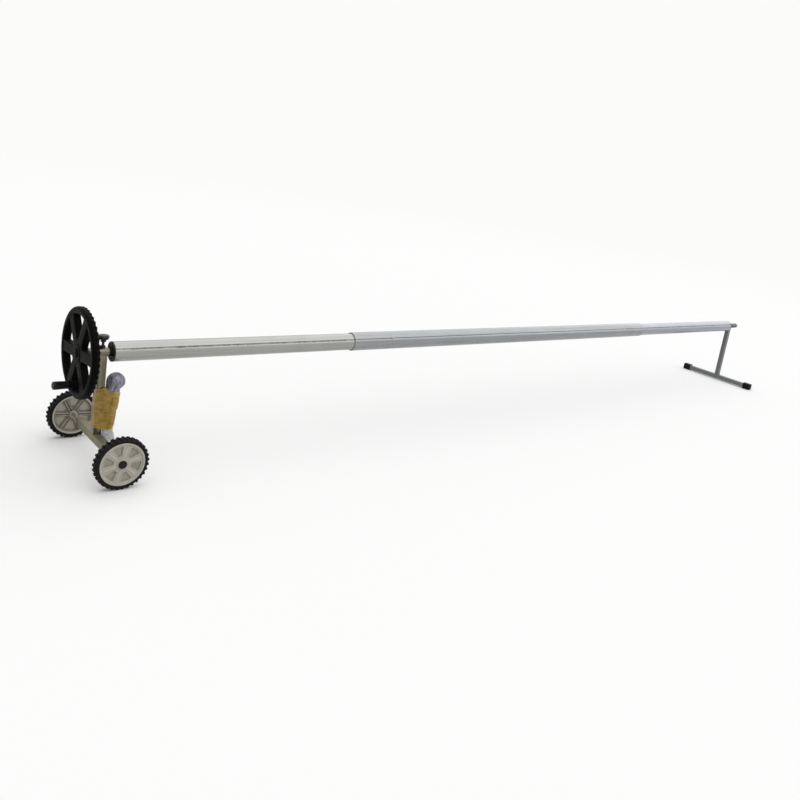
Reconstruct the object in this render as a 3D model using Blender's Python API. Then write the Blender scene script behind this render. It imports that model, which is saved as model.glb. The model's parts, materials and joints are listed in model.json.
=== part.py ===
"""Telescopic pool cover reel: wheeled drive stand, three-section roller and idler stand.

Metres, +Z up. X runs along the roller from the handwheel to the idler stand, and the wheels'
axle runs along Y. The origin is on the floor under the middle of the whole reel.
"""

import math

import bmesh
import bpy
from mathutils import Matrix, Vector

# Clearances
SEAT = 0.0003
RUNNING = 0.0003

# Roller: three aluminium extrusions, keyed together by their grooves
ROLLER_HEIGHT = 0.428
END_TUBE_RADIUS = 0.038
SECTION_GAP = 0.0027
TUBE_WALL = 0.0018
LEFT_SHOWN = 1.088
MIDDLE_LENGTH = 2.358
RIGHT_SHOWN = 1.204
LEFT_INSIDE = 0.362
RIGHT_INSIDE = 0.246
MIDDLE_TUBE_RADIUS = END_TUBE_RADIUS + SECTION_GAP + TUBE_WALL

# Grooves, whose ribs inside the middle tube run in the grooves of the end tubes
GROOVE_COUNT = 3
GROOVE_ANGLE = math.radians(152)
GROOVE_ARC_STEPS = 11
END_GROOVE_DEPTH = 0.0026
END_GROOVE_OPENING = 0.0066
END_GROOVE_FLOOR = 0.0058
MIDDLE_GROOVE_DEPTH = 0.0036
MIDDLE_GROOVE_OPENING = 0.0036
MIDDLE_GROOVE_FLOOR = 0.0024
GROOVE_FLANK = 0.0012

# Guide bushes in the mouths of the middle tube, and the screws that lock the sections
BUSH_DEPTH = 0.040
BUSH_LIP = 0.0024
BUSH_SLOT_PLAY = 0.0008
SCREW_INSET = 0.221
SCREW_RADIUS = 0.002
SCREW_HEAD_RADIUS = 0.004
SCREW_HEAD_HEIGHT = 0.0022

# End plugs and the axles in them
PLUG_LIP = 0.004
PLUG_DEPTH = 0.070
PLUG_SLOT = 0.0006
AXLE_RADIUS = 0.0125

# Bearing sleeves on top of the posts, with flanged plastic bushes
SLEEVE_RADIUS = 0.017
SLEEVE_WALL = 0.002
LEFT_SLEEVE_LENGTH = 0.083
RIGHT_SLEEVE_LENGTH = 0.120
BEARING_DEPTH = 0.020
BEARING_LIP = 0.003
COLLAR_LENGTH = 0.016
AXLE_END_SHOWN = 0.0035

# Square stainless tube of both stands
SQUARE_SIDE = 0.030
SQUARE_WALL = 0.002
SQUARE_CORNER = 0.003
LEFT_POST_OFFSET = 0.0355
RIGHT_POST_OFFSET = 0.040
CROSSBAR_LENGTH = 0.324
CROSSBAR_PLUG_DEPTH = 0.020
CROSSBAR_PLUG_LIP = 0.003

# Idler stand's foot
FOOT_BAR_LENGTH = 0.548
FOOT_CAP_SIDE = 0.044
FOOT_CAP_LENGTH = 0.052
FOOT_CAP_END = 0.006
FOOT_CAP_CORNER = 0.006

# Wheels
WHEEL_AXLE_RADIUS = 0.008
TRACK = 0.514
TYRE_RADIUS = 0.096
TYRE_WIDTH = 0.033
TREAD_DEPTH = 0.005
LUG_COUNT = 24
RIM_RADIUS = 0.0797
RIM_SEAT_RADIUS = 0.076
TYRE_BEAD = 0.002
RIM_WALL = 0.003
WEB_THICKNESS = 0.006
WEB_INSET = 0.005
HUB_RADIUS = 0.0185
HUB_BORE_PLAY = 0.0003
WHEEL_SPOKES = 6
WHEEL_TURNS = {"front": math.radians(17), "rear": math.radians(-3)}
POCKET_DEPTH = 0.0055
POCKET_BACK = 0.0025
POCKET_WALL = 0.0020
POCKET_INNER = 0.033
POCKET_OUTER = 0.066
POCKET_INNER_WIDTH = 0.012
POCKET_OUTER_WIDTH = 0.036
RIB_THICKNESS = 0.0022
RIB_SPREAD = 0.0045
RIB_SETBACK = 0.006
HUB_RING_RADIUS = 0.0245
HUB_RING_WALL = 0.0020
HUB_RING_DEPTH = 0.0090
GUSSET_THICKNESS = 0.0018
GUSSET_DEPTH = 0.0070
HUB_CAP_RADIUS = 0.015
HUB_CAP_HEIGHT = 0.004
RING_RADIUS = 0.0115
RING_THICKNESS = 0.0025

# Handwheel
HANDWHEEL_RADIUS = 0.1685
HANDWHEEL_RIM = 0.028
HANDWHEEL_DEPTH = 0.030
FINGER_BUMPS = 40
BUMP_DEPTH = 0.0022
SPOKE_COUNT = 6
SPOKE_PHASE = math.radians(-4)
SPOKE_WIDTH = 0.041
SPOKE_DEPTH = 0.026
SPOKE_FACE = 0.006
SPOKE_EDGE = 0.0045
HANDWHEEL_HUB_RADIUS = 0.034
HANDWHEEL_HUB_LENGTH = 0.034
HUB_WALL = 0.006
HUB_RECESS_RADIUS = 0.0150
HUB_RECESS_DEPTH = 0.010
HUB_BOLT_RADIUS = 0.004
HUB_BOLT_DEPTH = 0.020
BOLT_HEAD_ACROSS = 0.013
BOLT_HEAD_HEIGHT = 0.0053
HUB_COVER_HEIGHT = 0.004

# Crank grip on the handwheel's boss
GRIP_ANGLE = math.radians(-73)
GRIP_ORBIT = 0.139
BOSS_RADIUS = 0.029
BOSS_PROUD = 0.002
GRIP_RADIUS = 0.0155
GRIP_LENGTH = 0.057
GRIP_BOLT_RADIUS = 0.004
GRIP_HEAD_RADIUS = 0.0072
GRIP_HEAD_HEIGHT = 0.0045
GRIP_HEAD_RECESS = 0.007
NUT_ACROSS = 0.013
NUT_HEIGHT = 0.0065

# Locking screw over the left sleeve
LOCK_STEM_RADIUS = 0.005
LOCK_NUT_ACROSS = 0.017
LOCK_NUT_HEIGHT = 0.008
LOCK_STEM_SHOWN = 0.014
KNOB_RADIUS = 0.0215
KNOB_HEIGHT = 0.027
KNOB_LOBES = 6
KNOB_LOBE_DEPTH = 0.0022
KNOB_SOCKET = 0.016
KNOB_STEPS = 30

# Fitting kit taped to the left post
KIT_FOOT = 0.137
KIT_NECK = 0.292
KIT_SHOULDER = 0.316
KIT_TOP = 0.352
KIT_FOOT_RADIUS = 0.0185
KIT_NECK_RADIUS = 0.027
KIT_HEAD_RADIUS = 0.036
KIT_SIDE = -0.018
WRAP_TOP = 0.290
WRAP_STEPS = 36
WRAP_TILT = 0.12
WRAP_GAP = 0.0006
WRAP_THICKNESS = 0.002
FILM_BOTTOM = 0.088
FILM_HALF_WIDTH = 0.0235
FILM_HALF_DEPTH = 0.010
FILM_SIDE = -0.030

ROUND = 28
MEDIUM_ROUND = 20
SMALL_ROUND = 14

# Places along the roller, measured from the left tube's end
LEFT_LIP_FACE = -(SEAT + PLUG_LIP)
LEFT_SLEEVE_END = LEFT_LIP_FACE - 2 * SEAT - BEARING_LIP
LEFT_SLEEVE_START = LEFT_SLEEVE_END - LEFT_SLEEVE_LENGTH
LEFT_POST = -LEFT_POST_OFFSET
HUB_BACK = LEFT_SLEEVE_START - 2 * SEAT - BEARING_LIP
HUB_FRONT = HUB_BACK - HANDWHEEL_HUB_LENGTH
HUB_WALL_FRONT = HUB_FRONT + HUB_RECESS_DEPTH
HUB_WALL_BACK = HUB_WALL_FRONT + HUB_WALL
HANDWHEEL_PLANE = HUB_FRONT + 0.5 * HANDWHEEL_DEPTH
BOSS_FRONT = HANDWHEEL_PLANE - 0.5 * HANDWHEEL_DEPTH - BOSS_PROUD
BOSS_BACK = HANDWHEEL_PLANE + 0.5 * HANDWHEEL_DEPTH
GRIP_RIGHT = BOSS_FRONT - SEAT
GRIP_LEFT = GRIP_RIGHT - GRIP_LENGTH
MIDDLE_START = LEFT_SHOWN
MIDDLE_END = MIDDLE_START + MIDDLE_LENGTH
ROLLER_END = MIDDLE_END + RIGHT_SHOWN
RIGHT_LIP_FACE = ROLLER_END + SEAT + PLUG_LIP
RIGHT_SLEEVE_START = RIGHT_LIP_FACE + 2 * SEAT + BEARING_LIP
RIGHT_SLEEVE_END = RIGHT_SLEEVE_START + RIGHT_SLEEVE_LENGTH
RIGHT_POST = ROLLER_END + RIGHT_POST_OFFSET
COLLAR_START = RIGHT_SLEEVE_END + 2 * SEAT + BEARING_LIP
COLLAR_END = COLLAR_START + COLLAR_LENGTH
IDLER_AXLE_END = COLLAR_END + AXLE_END_SHOWN
SHIFT = -0.5 * (GRIP_LEFT + IDLER_AXLE_END)

# Heights and places across
SLEEVE_BORE = SLEEVE_RADIUS - SLEEVE_WALL
BEARING_BORE = AXLE_RADIUS + RUNNING
POST_COPE = SLEEVE_RADIUS + SEAT
POST_TOP = ROLLER_HEIGHT - 0.6 * SLEEVE_RADIUS
CROSSBAR_TOP = TYRE_RADIUS + 0.5 * SQUARE_SIDE
FOOT_BAR_HEIGHT = 0.5 * FOOT_CAP_SIDE
FOOT_BAR_TOP = FOOT_BAR_HEIGHT + 0.5 * SQUARE_SIDE
WHEEL_PLANE = 0.5 * TRACK
WHEEL_BORE = WHEEL_AXLE_RADIUS + HUB_BORE_PLAY
POST_FACE = LEFT_POST + 0.5 * SQUARE_SIDE + SEAT


def clear_scene():
    """Remove every object that the scene holds."""
    for thing in list(bpy.data.objects):
        bpy.data.objects.remove(thing, do_unlink=True)


def finish(name, colour, roughness, metallic=0.0):
    """Return the named Principled material, made on first use."""
    made = bpy.data.materials.get(name)
    if made is None:
        made = bpy.data.materials.new(name)
        made.use_nodes = True
        shader = made.node_tree.nodes["Principled BSDF"]
        shader.inputs["Base Color"].default_value = (*colour, 1.0)
        shader.inputs["Roughness"].default_value = roughness
        shader.inputs["Metallic"].default_value = metallic
    return made


def anodised():
    return finish("anodised_aluminium", (0.62, 0.62, 0.61), 0.32, 1.0)


def stainless():
    return finish("stainless_steel", (0.46, 0.44, 0.38), 0.28, 1.0)


def grey_steel():
    return finish("grey_steel_tube", (0.20, 0.21, 0.22), 0.42, 0.6)


def zinc():
    return finish("zinc_plated_steel", (0.55, 0.55, 0.53), 0.35, 1.0)


def black_steel():
    return finish("black_steel", (0.03, 0.03, 0.03), 0.40, 0.8)


def black_plastic():
    return finish("black_plastic", (0.020, 0.020, 0.019), 0.45)


def tyre_rubber():
    return finish("black_tyre", (0.022, 0.022, 0.021), 0.75)


def black_rubber():
    return finish("black_rubber", (0.022, 0.022, 0.021), 0.75)


def grey_plastic():
    return finish("warm_grey_plastic", (0.42, 0.39, 0.34), 0.50)


def bush_nylon():
    return finish("dark_nylon", (0.045, 0.045, 0.043), 0.55)


def kit_cloth():
    return finish("grey_violet_bundle", (0.20, 0.19, 0.24), 0.40)


def brown_tape():
    return finish("brown_packing_tape", (0.30, 0.20, 0.07), 0.35)


def clear_film():
    return finish("clear_film", (0.60, 0.60, 0.56), 0.30)


def empty(name, location, parent=None):
    """Add an empty that carries the pieces of one moving body."""
    holder = bpy.data.objects.new(name, None)
    bpy.context.collection.objects.link(holder)
    holder.location = location
    holder.parent = parent
    return holder


def piece(name, shape, material, parent, location=(0, 0, 0), rotation=(0, 0, 0), sharp=32):
    """Turn a bmesh into a named object with its own material slot."""
    mesh = bpy.data.meshes.new(name)
    shape.to_mesh(mesh)
    shape.free()
    mesh.materials.append(material)
    mesh.shade_smooth()
    mesh.set_sharp_from_angle(angle=math.radians(sharp))
    made = bpy.data.objects.new(name, mesh)
    bpy.context.collection.objects.link(made)
    made.location = location
    made.rotation_euler = rotation
    made.parent = parent
    return made


def guide(name, shape, parent, location=(0, 0, 0), rotation=(0, 0, 0)):
    """Add a hidden shape that cuts or joins another piece."""
    made = piece(name, shape, black_plastic(), parent, location, rotation)
    made.hide_render = True
    made.display_type = "WIRE"
    return made


def combine(target, tool, operation):
    """Join a guide to a piece, or cut it away, with an exact Boolean."""
    step = target.modifiers.new(f"{operation.lower()}_{tool.name}", "BOOLEAN")
    step.operation = operation
    step.solver = "EXACT"
    step.object = tool


def loft(rings, closed=False):
    """Skin rings of equal point counts into one closed body."""
    shape = bmesh.new()
    rows = [[shape.verts.new(point) for point in ring] for ring in rings]
    count = len(rings[0])
    spans = len(rows) if closed else len(rows) - 1
    for index in range(spans):
        here = rows[index]
        after = rows[(index + 1) % len(rows)]
        for side in range(count):
            following = (side + 1) % count
            shape.faces.new((here[side], here[following], after[following], after[side]))
    if not closed:
        shape.faces.new(rows[0])
        shape.faces.new(list(reversed(rows[-1])))
    bmesh.ops.recalc_face_normals(shape, faces=shape.faces)
    return shape


def turned(profile, steps=ROUND, closed=True):
    """Spin a profile of (radius, height) points about Z into one closed body."""
    shape = bmesh.new()
    points = [shape.verts.new((radius, 0, height)) for radius, height in profile]
    edges = [shape.edges.new(pair) for pair in zip(points, points[1:])]
    if closed:
        edges.append(shape.edges.new((points[-1], points[0])))
    bmesh.ops.spin(
        shape, geom=points + edges, cent=(0, 0, 0), axis=(0, 0, 1), dvec=(0, 0, 0),
        angle=math.tau, steps=steps, use_merge=True, use_duplicate=False)
    bmesh.ops.remove_doubles(shape, verts=shape.verts, dist=1e-6)
    bmesh.ops.recalc_face_normals(shape, faces=shape.faces)
    return shape


def washer(inner, outer, low, high, steps=ROUND):
    """Return a plain ring between two heights."""
    return turned([(inner, low), (outer, low), (outer, high), (inner, high)], steps)


def rod(radius, low, high, chamfer=0.0, steps=ROUND):
    """Return a solid rod whose ends have a small chamfer."""
    profile = [(0, low), (radius - chamfer, low)]
    if chamfer:
        profile += [(radius, low + chamfer), (radius, high - chamfer)]
    profile += [(radius - chamfer, high), (0, high)]
    return turned(profile, steps, closed=False)


def block(size, matrix):
    """Return a box of the given size, placed by a matrix."""
    shape = bmesh.new()
    bmesh.ops.create_cube(shape, size=1.0, matrix=matrix @ Matrix.Diagonal((*size, 1.0)))
    return shape


def merge(shapes):
    """Put several bmesh shapes into one."""
    whole = bmesh.new()
    holder = bpy.data.meshes.new("holder")
    for shape in shapes:
        shape.to_mesh(holder)
        shape.free()
        whole.from_mesh(holder)
    bpy.data.meshes.remove(holder)
    return whole


def circle(radius, steps=ROUND, centre=(0.0, 0.0)):
    """Return the points of a circle in its own plane."""
    turns = [math.tau * index / steps for index in range(steps)]
    return [(centre[0] + radius * math.cos(a), centre[1] + radius * math.sin(a)) for a in turns]


def hexagon(across):
    """Return a hexagon by its width across flats."""
    return circle(across / math.sqrt(3), 6)


def rounded_square(side, corner, corner_steps=3):
    """Return a square outline with round corners."""
    reach = 0.5 * side - corner
    points = []
    for quarter in range(4):
        turn = 0.5 * math.pi * quarter
        middle = Vector((reach, reach)) if quarter == 0 else middle_turned
        for step in range(corner_steps + 1):
            angle = turn + 0.5 * math.pi * step / corner_steps
            points.append((middle[0] + corner * math.cos(angle),
                           middle[1] + corner * math.sin(angle)))
        middle_turned = Vector((-middle[1], middle[0]))
    return points


def grooved(radius, depth, opening, floor):
    """Return a tube outline with grooves, or with ribs where it bounds the bore."""
    half = math.asin(0.5 * opening / radius)
    pitch = math.tau / GROOVE_COUNT
    points = []
    for index in range(GROOVE_COUNT):
        groove = GROOVE_ANGLE + index * pitch
        for step in range(GROOVE_ARC_STEPS + 1):
            angle = groove + half + (pitch - 2 * half) * step / GROOVE_ARC_STEPS
            points.append((radius * math.cos(angle), radius * math.sin(angle)))
        ahead = groove + pitch
        for side in (-0.5, 0.5):
            across = side * floor
            down = radius - depth
            points.append((down * math.cos(ahead) - across * math.sin(ahead),
                           down * math.sin(ahead) + across * math.cos(ahead)))
    return points


def along_x(outline, x):
    return [Vector((x, y, z)) for y, z in outline]


def along_y(outline, y):
    return [Vector((x, y, z)) for x, z in outline]


def along_z(outline, z):
    return [Vector((x, y, z)) for x, y in outline]


def pipe(place, outer, inner, start, end):
    """Return a hollow extrusion between two places."""
    return loft([place(outer, start), place(outer, end), place(inner, end),
                 place(inner, start)], closed=True)


def prism(place, outline, start, end):
    """Return a solid extrusion between two places."""
    return loft([place(outline, start), place(outline, end)])


TURN_TO_X = (0, math.radians(90), 0)
TURN_TO_Y = (math.radians(-90), 0, 0)


def end_tube_outline(shrink=0.0):
    """Return the end tubes' outside, or their bore where shrink is the wall."""
    return grooved(END_TUBE_RADIUS - shrink, END_GROOVE_DEPTH,
                   END_GROOVE_OPENING + 2 * shrink, END_GROOVE_FLOOR + 2 * shrink)


def end_tube(name, start, end, parent):
    """Add one of the two narrower roller sections."""
    shape = pipe(along_x, end_tube_outline(), end_tube_outline(TUBE_WALL), start, end)
    return piece(name, shape, anodised(), parent)


def middle_tube(parent):
    """Add the larger section, with its groove holes for the lock screws."""
    bore = grooved(MIDDLE_TUBE_RADIUS - TUBE_WALL,
                   MIDDLE_GROOVE_DEPTH,
                   MIDDLE_GROOVE_OPENING + 2 * GROOVE_FLANK,
                   MIDDLE_GROOVE_FLOOR + 2 * GROOVE_FLANK)
    outside = grooved(MIDDLE_TUBE_RADIUS, MIDDLE_GROOVE_DEPTH,
                      MIDDLE_GROOVE_OPENING, MIDDLE_GROOVE_FLOOR)
    tube = piece("tube_middle", pipe(along_x, outside, bore, MIDDLE_START, MIDDLE_END),
                 anodised(), parent)
    hole = SCREW_RADIUS + RUNNING
    bottom = END_TUBE_RADIUS - END_GROOVE_DEPTH
    drills = merge([radial(rod(hole, bottom, MIDDLE_TUBE_RADIUS + SCREW_RADIUS, 0.0, 12), x)
                    for x in screw_places()])
    combine(tube, guide("section_screw_drills", drills, parent), "DIFFERENCE")
    return tube


def screw_places():
    return (MIDDLE_START + SCREW_INSET, MIDDLE_END - SCREW_INSET)


def radial(shape, x):
    """Turn a shape about Z so that it points out of the groove at a place along the roller."""
    turn = Matrix.Rotation(GROOVE_ANGLE - math.radians(90), 4, "X")
    bmesh.ops.transform(shape, matrix=Matrix.Translation((x, 0, 0)) @ turn, verts=shape.verts)
    return shape


def section_screws(parent):
    """Add the two screws that lock the sections, one over each end tube."""
    tip = END_TUBE_RADIUS - END_GROOVE_DEPTH + SEAT
    seat = MIDDLE_TUBE_RADIUS + SEAT
    crown = seat + SCREW_HEAD_HEIGHT
    profile = [(0, tip), (SCREW_RADIUS, tip), (SCREW_RADIUS, seat), (SCREW_HEAD_RADIUS, seat),
               (SCREW_HEAD_RADIUS, seat + 0.4 * SCREW_HEAD_HEIGHT),
               (0.6 * SCREW_HEAD_RADIUS, crown), (0, crown)]
    for suffix, x in zip(("left", "right"), screw_places()):
        screw = radial(turned(profile, 12, closed=False), x)
        piece(f"section_screw_{suffix}", screw, zinc(), parent)


def guide_bush(name, mouth, inward, parent):
    """Add the plastic bush between two sections, slotted for the middle tube's ribs."""
    inner = END_TUBE_RADIUS + RUNNING
    outer = MIDDLE_TUBE_RADIUS - TUBE_WALL - RUNNING
    lip_face = mouth - inward * (SEAT + BUSH_LIP)
    lip_back = mouth - inward * SEAT
    profile = [(inner, lip_face), (MIDDLE_TUBE_RADIUS, lip_face), (MIDDLE_TUBE_RADIUS, lip_back),
               (outer, lip_back), (outer, mouth + inward * BUSH_DEPTH),
               (inner, mouth + inward * BUSH_DEPTH)]
    bush = piece(name, turned(profile), bush_nylon(), parent, (0, 0, 0), TURN_TO_X)
    width = MIDDLE_GROOVE_OPENING + 2 * GROOVE_FLANK + 2 * BUSH_SLOT_PLAY
    depth = 2 * SECTION_GAP + END_GROOVE_DEPTH
    cuts = []
    for index in range(GROOVE_COUNT):
        turn = Matrix.Rotation(GROOVE_ANGLE + index * math.tau / GROOVE_COUNT, 4, "X")
        place = Matrix.Translation((lip_back + inward * BUSH_DEPTH, END_TUBE_RADIUS, 0))
        cuts.append(block((2 * BUSH_DEPTH, depth, width), turn @ place))
    combine(bush, guide(f"{name}_slots", merge(cuts), parent), "DIFFERENCE")


def tube_plug(name, face, inward, parent):
    """Add the plug that carries an axle in the end of a tube."""
    body = grooved(END_TUBE_RADIUS - TUBE_WALL - RUNNING, END_GROOVE_DEPTH,
                   END_GROOVE_OPENING + 2 * TUBE_WALL + 2 * PLUG_SLOT,
                   END_GROOVE_FLOOR + 2 * TUBE_WALL + 2 * PLUG_SLOT)
    inside = face + inward * PLUG_DEPTH
    plug = piece(name, prism(along_x, body, face - inward * 2 * SEAT, inside), bush_nylon(), parent)
    lip = rod(END_TUBE_RADIUS, 0, PLUG_LIP, 0.0008)
    low = face - SEAT - PLUG_LIP if inward > 0 else face + SEAT
    combine(plug, guide(f"{name}_lip", lip, parent, (low, 0, 0), TURN_TO_X), "UNION")
    bore = rod(AXLE_RADIUS + SEAT, -2 * PLUG_LIP, PLUG_DEPTH + 2 * PLUG_LIP, 0.0, MEDIUM_ROUND)
    start = min(face, inside)
    combine(plug, guide(f"{name}_bore", bore, parent, (start, 0, 0), TURN_TO_X), "DIFFERENCE")


def square_tube(name, place, start, end, material, parent, location=(0, 0, 0)):
    """Add a length of square tube."""
    outer = rounded_square(SQUARE_SIDE, SQUARE_CORNER)
    inner = rounded_square(SQUARE_SIDE - 2 * SQUARE_WALL, SQUARE_CORNER - SQUARE_WALL)
    return piece(name, pipe(place, outer, inner, start, end), material, parent, location)


def post(name, bottom, material, parent, location):
    """Add an upright whose top is coped to its bearing sleeve."""
    upright = square_tube(name, along_z, bottom + SEAT, POST_TOP, material, parent, location)
    cope = rod(POST_COPE, -SQUARE_SIDE, SQUARE_SIDE)
    place = (location[0], location[1], ROLLER_HEIGHT)
    combine(upright, guide(f"{name}_cope", cope, parent, place, TURN_TO_X), "DIFFERENCE")
    return upright


def sleeve(name, start, end, material, parent):
    """Add a bearing sleeve on the roller's axis."""
    shape = washer(SLEEVE_BORE, SLEEVE_RADIUS, start, end)
    return piece(name, shape, material, parent, (0, 0, ROLLER_HEIGHT), TURN_TO_X)


def bearing(name, end, inward, parent):
    """Add a flanged bush in one end of a sleeve."""
    body = SLEEVE_BORE - SEAT
    lip_back = end - inward * SEAT
    lip_face = lip_back - inward * BEARING_LIP
    inside = end + inward * BEARING_DEPTH
    profile = [(BEARING_BORE, lip_face), (SLEEVE_RADIUS, lip_face), (SLEEVE_RADIUS, lip_back),
               (body, lip_back), (body, inside), (BEARING_BORE, inside)]
    piece(name, turned(profile, MEDIUM_ROUND), bush_nylon(), parent, (0, 0, ROLLER_HEIGHT),
          TURN_TO_X)


def drive_stand(root):
    """Add the wheeled stand without its wheels and locking screw."""
    post("left_post", CROSSBAR_TOP, stainless(), root, (LEFT_POST, 0, 0))
    tube = sleeve("left_sleeve", LEFT_SLEEVE_START, LEFT_SLEEVE_END, stainless(), root)
    drill = rod(LOCK_STEM_RADIUS + RUNNING, AXLE_RADIUS, 2 * SLEEVE_RADIUS, 0.0, SMALL_ROUND)
    hole = guide("left_sleeve_drill", drill, root, (LEFT_POST, 0, ROLLER_HEIGHT))
    combine(tube, hole, "DIFFERENCE")
    bearing("left_bush_inner", LEFT_SLEEVE_END, -1, root)
    bearing("left_bush_outer", LEFT_SLEEVE_START, 1, root)
    lock_nut(root)
    half = 0.5 * CROSSBAR_LENGTH
    square_tube("crossbar", along_y, -half, half, stainless(), root,
                (LEFT_POST, 0, TYRE_RADIUS))
    crossbar_plug("crossbar_plug_front", -1, root)
    crossbar_plug("crossbar_plug_rear", 1, root)
    reach = WHEEL_PLANE + wheel_web_face() - RING_THICKNESS
    piece("wheel_axle", rod(WHEEL_AXLE_RADIUS, -reach, reach, 0.001, SMALL_ROUND), stainless(),
          root, (LEFT_POST, 0, TYRE_RADIUS), TURN_TO_Y)


def lock_nut(root):
    """Add the nut on the sleeve, coped to it and bored for the locking screw."""
    base = ROLLER_HEIGHT + SLEEVE_RADIUS - 0.002
    top = ROLLER_HEIGHT + SLEEVE_RADIUS + LOCK_NUT_HEIGHT
    bore = circle(LOCK_STEM_RADIUS + RUNNING, 6)
    nut = piece("lock_nut", pipe(along_z, hexagon(LOCK_NUT_ACROSS), bore, base, top),
                black_steel(), root, (LEFT_POST, 0, 0))
    cope = rod(POST_COPE, -SQUARE_SIDE, SQUARE_SIDE)
    place = (LEFT_POST, 0, ROLLER_HEIGHT)
    combine(nut, guide("lock_nut_cope", cope, root, place, TURN_TO_X), "DIFFERENCE")
    drill = rod(LOCK_STEM_RADIUS + RUNNING, base - SEAT, top + SEAT, 0.0, SMALL_ROUND)
    combine(nut, guide("lock_nut_drill", drill, root, (LEFT_POST, 0, 0)), "DIFFERENCE")


def crossbar_plug(name, side, root):
    """Add the plug that centres the wheel axle in one end of the crossbar."""
    end = side * 0.5 * CROSSBAR_LENGTH
    body = rounded_square(SQUARE_SIDE - 2 * SQUARE_WALL - 2 * SEAT, SQUARE_CORNER - SQUARE_WALL)
    lip = rounded_square(SQUARE_SIDE, SQUARE_CORNER)
    lip_back = end + side * SEAT
    lip_face = lip_back + side * CROSSBAR_PLUG_LIP
    inside = end - side * CROSSBAR_PLUG_DEPTH
    rings = [along_y(body, inside), along_y(body, lip_back), along_y(lip, lip_back),
             along_y(lip, lip_face)]
    plug = piece(name, loft(rings), bush_nylon(), root, (LEFT_POST, 0, TYRE_RADIUS))
    reach = 0.5 * CROSSBAR_LENGTH + 2 * CROSSBAR_PLUG_LIP
    start = reach - CROSSBAR_PLUG_DEPTH - 4 * CROSSBAR_PLUG_LIP
    low, high = sorted((side * start, side * reach))
    bore = rod(WHEEL_AXLE_RADIUS + SEAT, low, high, 0.0, SMALL_ROUND)
    place = (LEFT_POST, 0, TYRE_RADIUS)
    combine(plug, guide(f"{name}_bore", bore, root, place, TURN_TO_Y), "DIFFERENCE")


def wheel_web_face():
    """Return how far the back of the wheel's web stands out from the wheel's middle."""
    return 0.5 * TYRE_WIDTH - WEB_INSET - WEB_THICKNESS + RING_THICKNESS


def axle_rings(root):
    """Add the rings that keep both wheels on the axle, inside and outside each hub."""
    bore = WHEEL_AXLE_RADIUS + SEAT
    inner = WHEEL_PLANE - 0.5 * TYRE_WIDTH - SEAT - RING_THICKNESS
    outer = WHEEL_PLANE + wheel_web_face() - RING_THICKNESS + SEAT
    for suffix, side in (("front", -1), ("rear", 1)):
        for place, start in (("inner", inner), ("outer", outer)):
            low, high = sorted((side * start, side * (start + RING_THICKNESS)))
            ring = washer(bore, RING_RADIUS, low, high, SMALL_ROUND)
            piece(f"axle_ring_{suffix}_{place}", ring, zinc(), root,
                  (LEFT_POST, 0, TYRE_RADIUS), TURN_TO_Y)


def locking_screw(root):
    """Add the threaded stem and the lobed knob that hold the roller still."""
    axis = empty("lock_axis", (LEFT_POST, 0, ROLLER_HEIGHT), root)
    tip = AXLE_RADIUS + SEAT
    knob_base = SLEEVE_RADIUS + LOCK_NUT_HEIGHT + LOCK_STEM_SHOWN
    stem_top = knob_base + KNOB_SOCKET - SEAT
    piece("lock_screw", rod(LOCK_STEM_RADIUS, tip, stem_top, 0.0008, SMALL_ROUND), black_steel(),
          axis)
    waist = 0.45 * KNOB_RADIUS
    levels = [(waist, 0.0, 0.0), (waist + 0.002, 0.20, 0.0), (0.93 * KNOB_RADIUS, 0.36, 1.0),
              (KNOB_RADIUS, 0.50, 1.0), (KNOB_RADIUS, 0.74, 1.0), (0.88 * KNOB_RADIUS, 0.91, 1.0),
              (0.50 * KNOB_RADIUS, 1.0, 0.2)]
    rings = []
    for radius, share, lobed in levels:
        ring = []
        for step in range(KNOB_STEPS):
            angle = math.tau * step / KNOB_STEPS
            wave = 0.5 - 0.5 * math.cos(KNOB_LOBES * angle)
            reach = radius - lobed * KNOB_LOBE_DEPTH * wave
            ring.append(Vector((reach * math.cos(angle), reach * math.sin(angle),
                                knob_base + share * KNOB_HEIGHT)))
        rings.append(ring)
    knob = piece("lock_knob", loft(rings), black_plastic(), axis)
    socket = rod(LOCK_STEM_RADIUS + SEAT, knob_base - SEAT, knob_base + KNOB_SOCKET, 0.0,
                 SMALL_ROUND)
    combine(knob, guide("lock_knob_socket", socket, axis), "DIFFERENCE")


def tyre(name, parent):
    """Add a tyre whose lugs are staggered between its two halves."""
    half = 0.5 * TYRE_WIDTH
    bead = half - 0.004
    high = TYRE_RADIUS
    low = TYRE_RADIUS - TREAD_DEPTH
    rings = []
    for lug in range(LUG_COUNT):
        for share, front, back in ((0.0, high, low), (0.42, high, low),
                                   (0.5, low, high), (0.92, low, high)):
            angle = math.tau * (lug + share) / LUG_COUNT
            section = [(RIM_SEAT_RADIUS + SEAT, -bead), (RIM_RADIUS + TYRE_BEAD, -half),
                       (front - 0.0015, -half + 0.003), (front, -0.0006), (back, 0.0006),
                       (back - 0.0015, half - 0.003), (RIM_RADIUS + TYRE_BEAD, half),
                       (RIM_SEAT_RADIUS + SEAT, bead)]
            rings.append([Vector((r * math.cos(angle), y, r * math.sin(angle)))
                          for r, y in section])
    piece(name, loft(rings, closed=True), tyre_rubber(), parent, sharp=25)


def pocket_outline(wall):
    """Return a pocket's outline, or the outline of its back where a wall is given."""
    near = 0.5 * POCKET_INNER_WIDTH + wall
    wide = 0.5 * POCKET_OUTER_WIDTH + wall
    return [(POCKET_INNER - wall, -near), (POCKET_OUTER + wall, -wide),
            (POCKET_OUTER + wall, wide), (POCKET_INNER - wall, near)]


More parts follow.
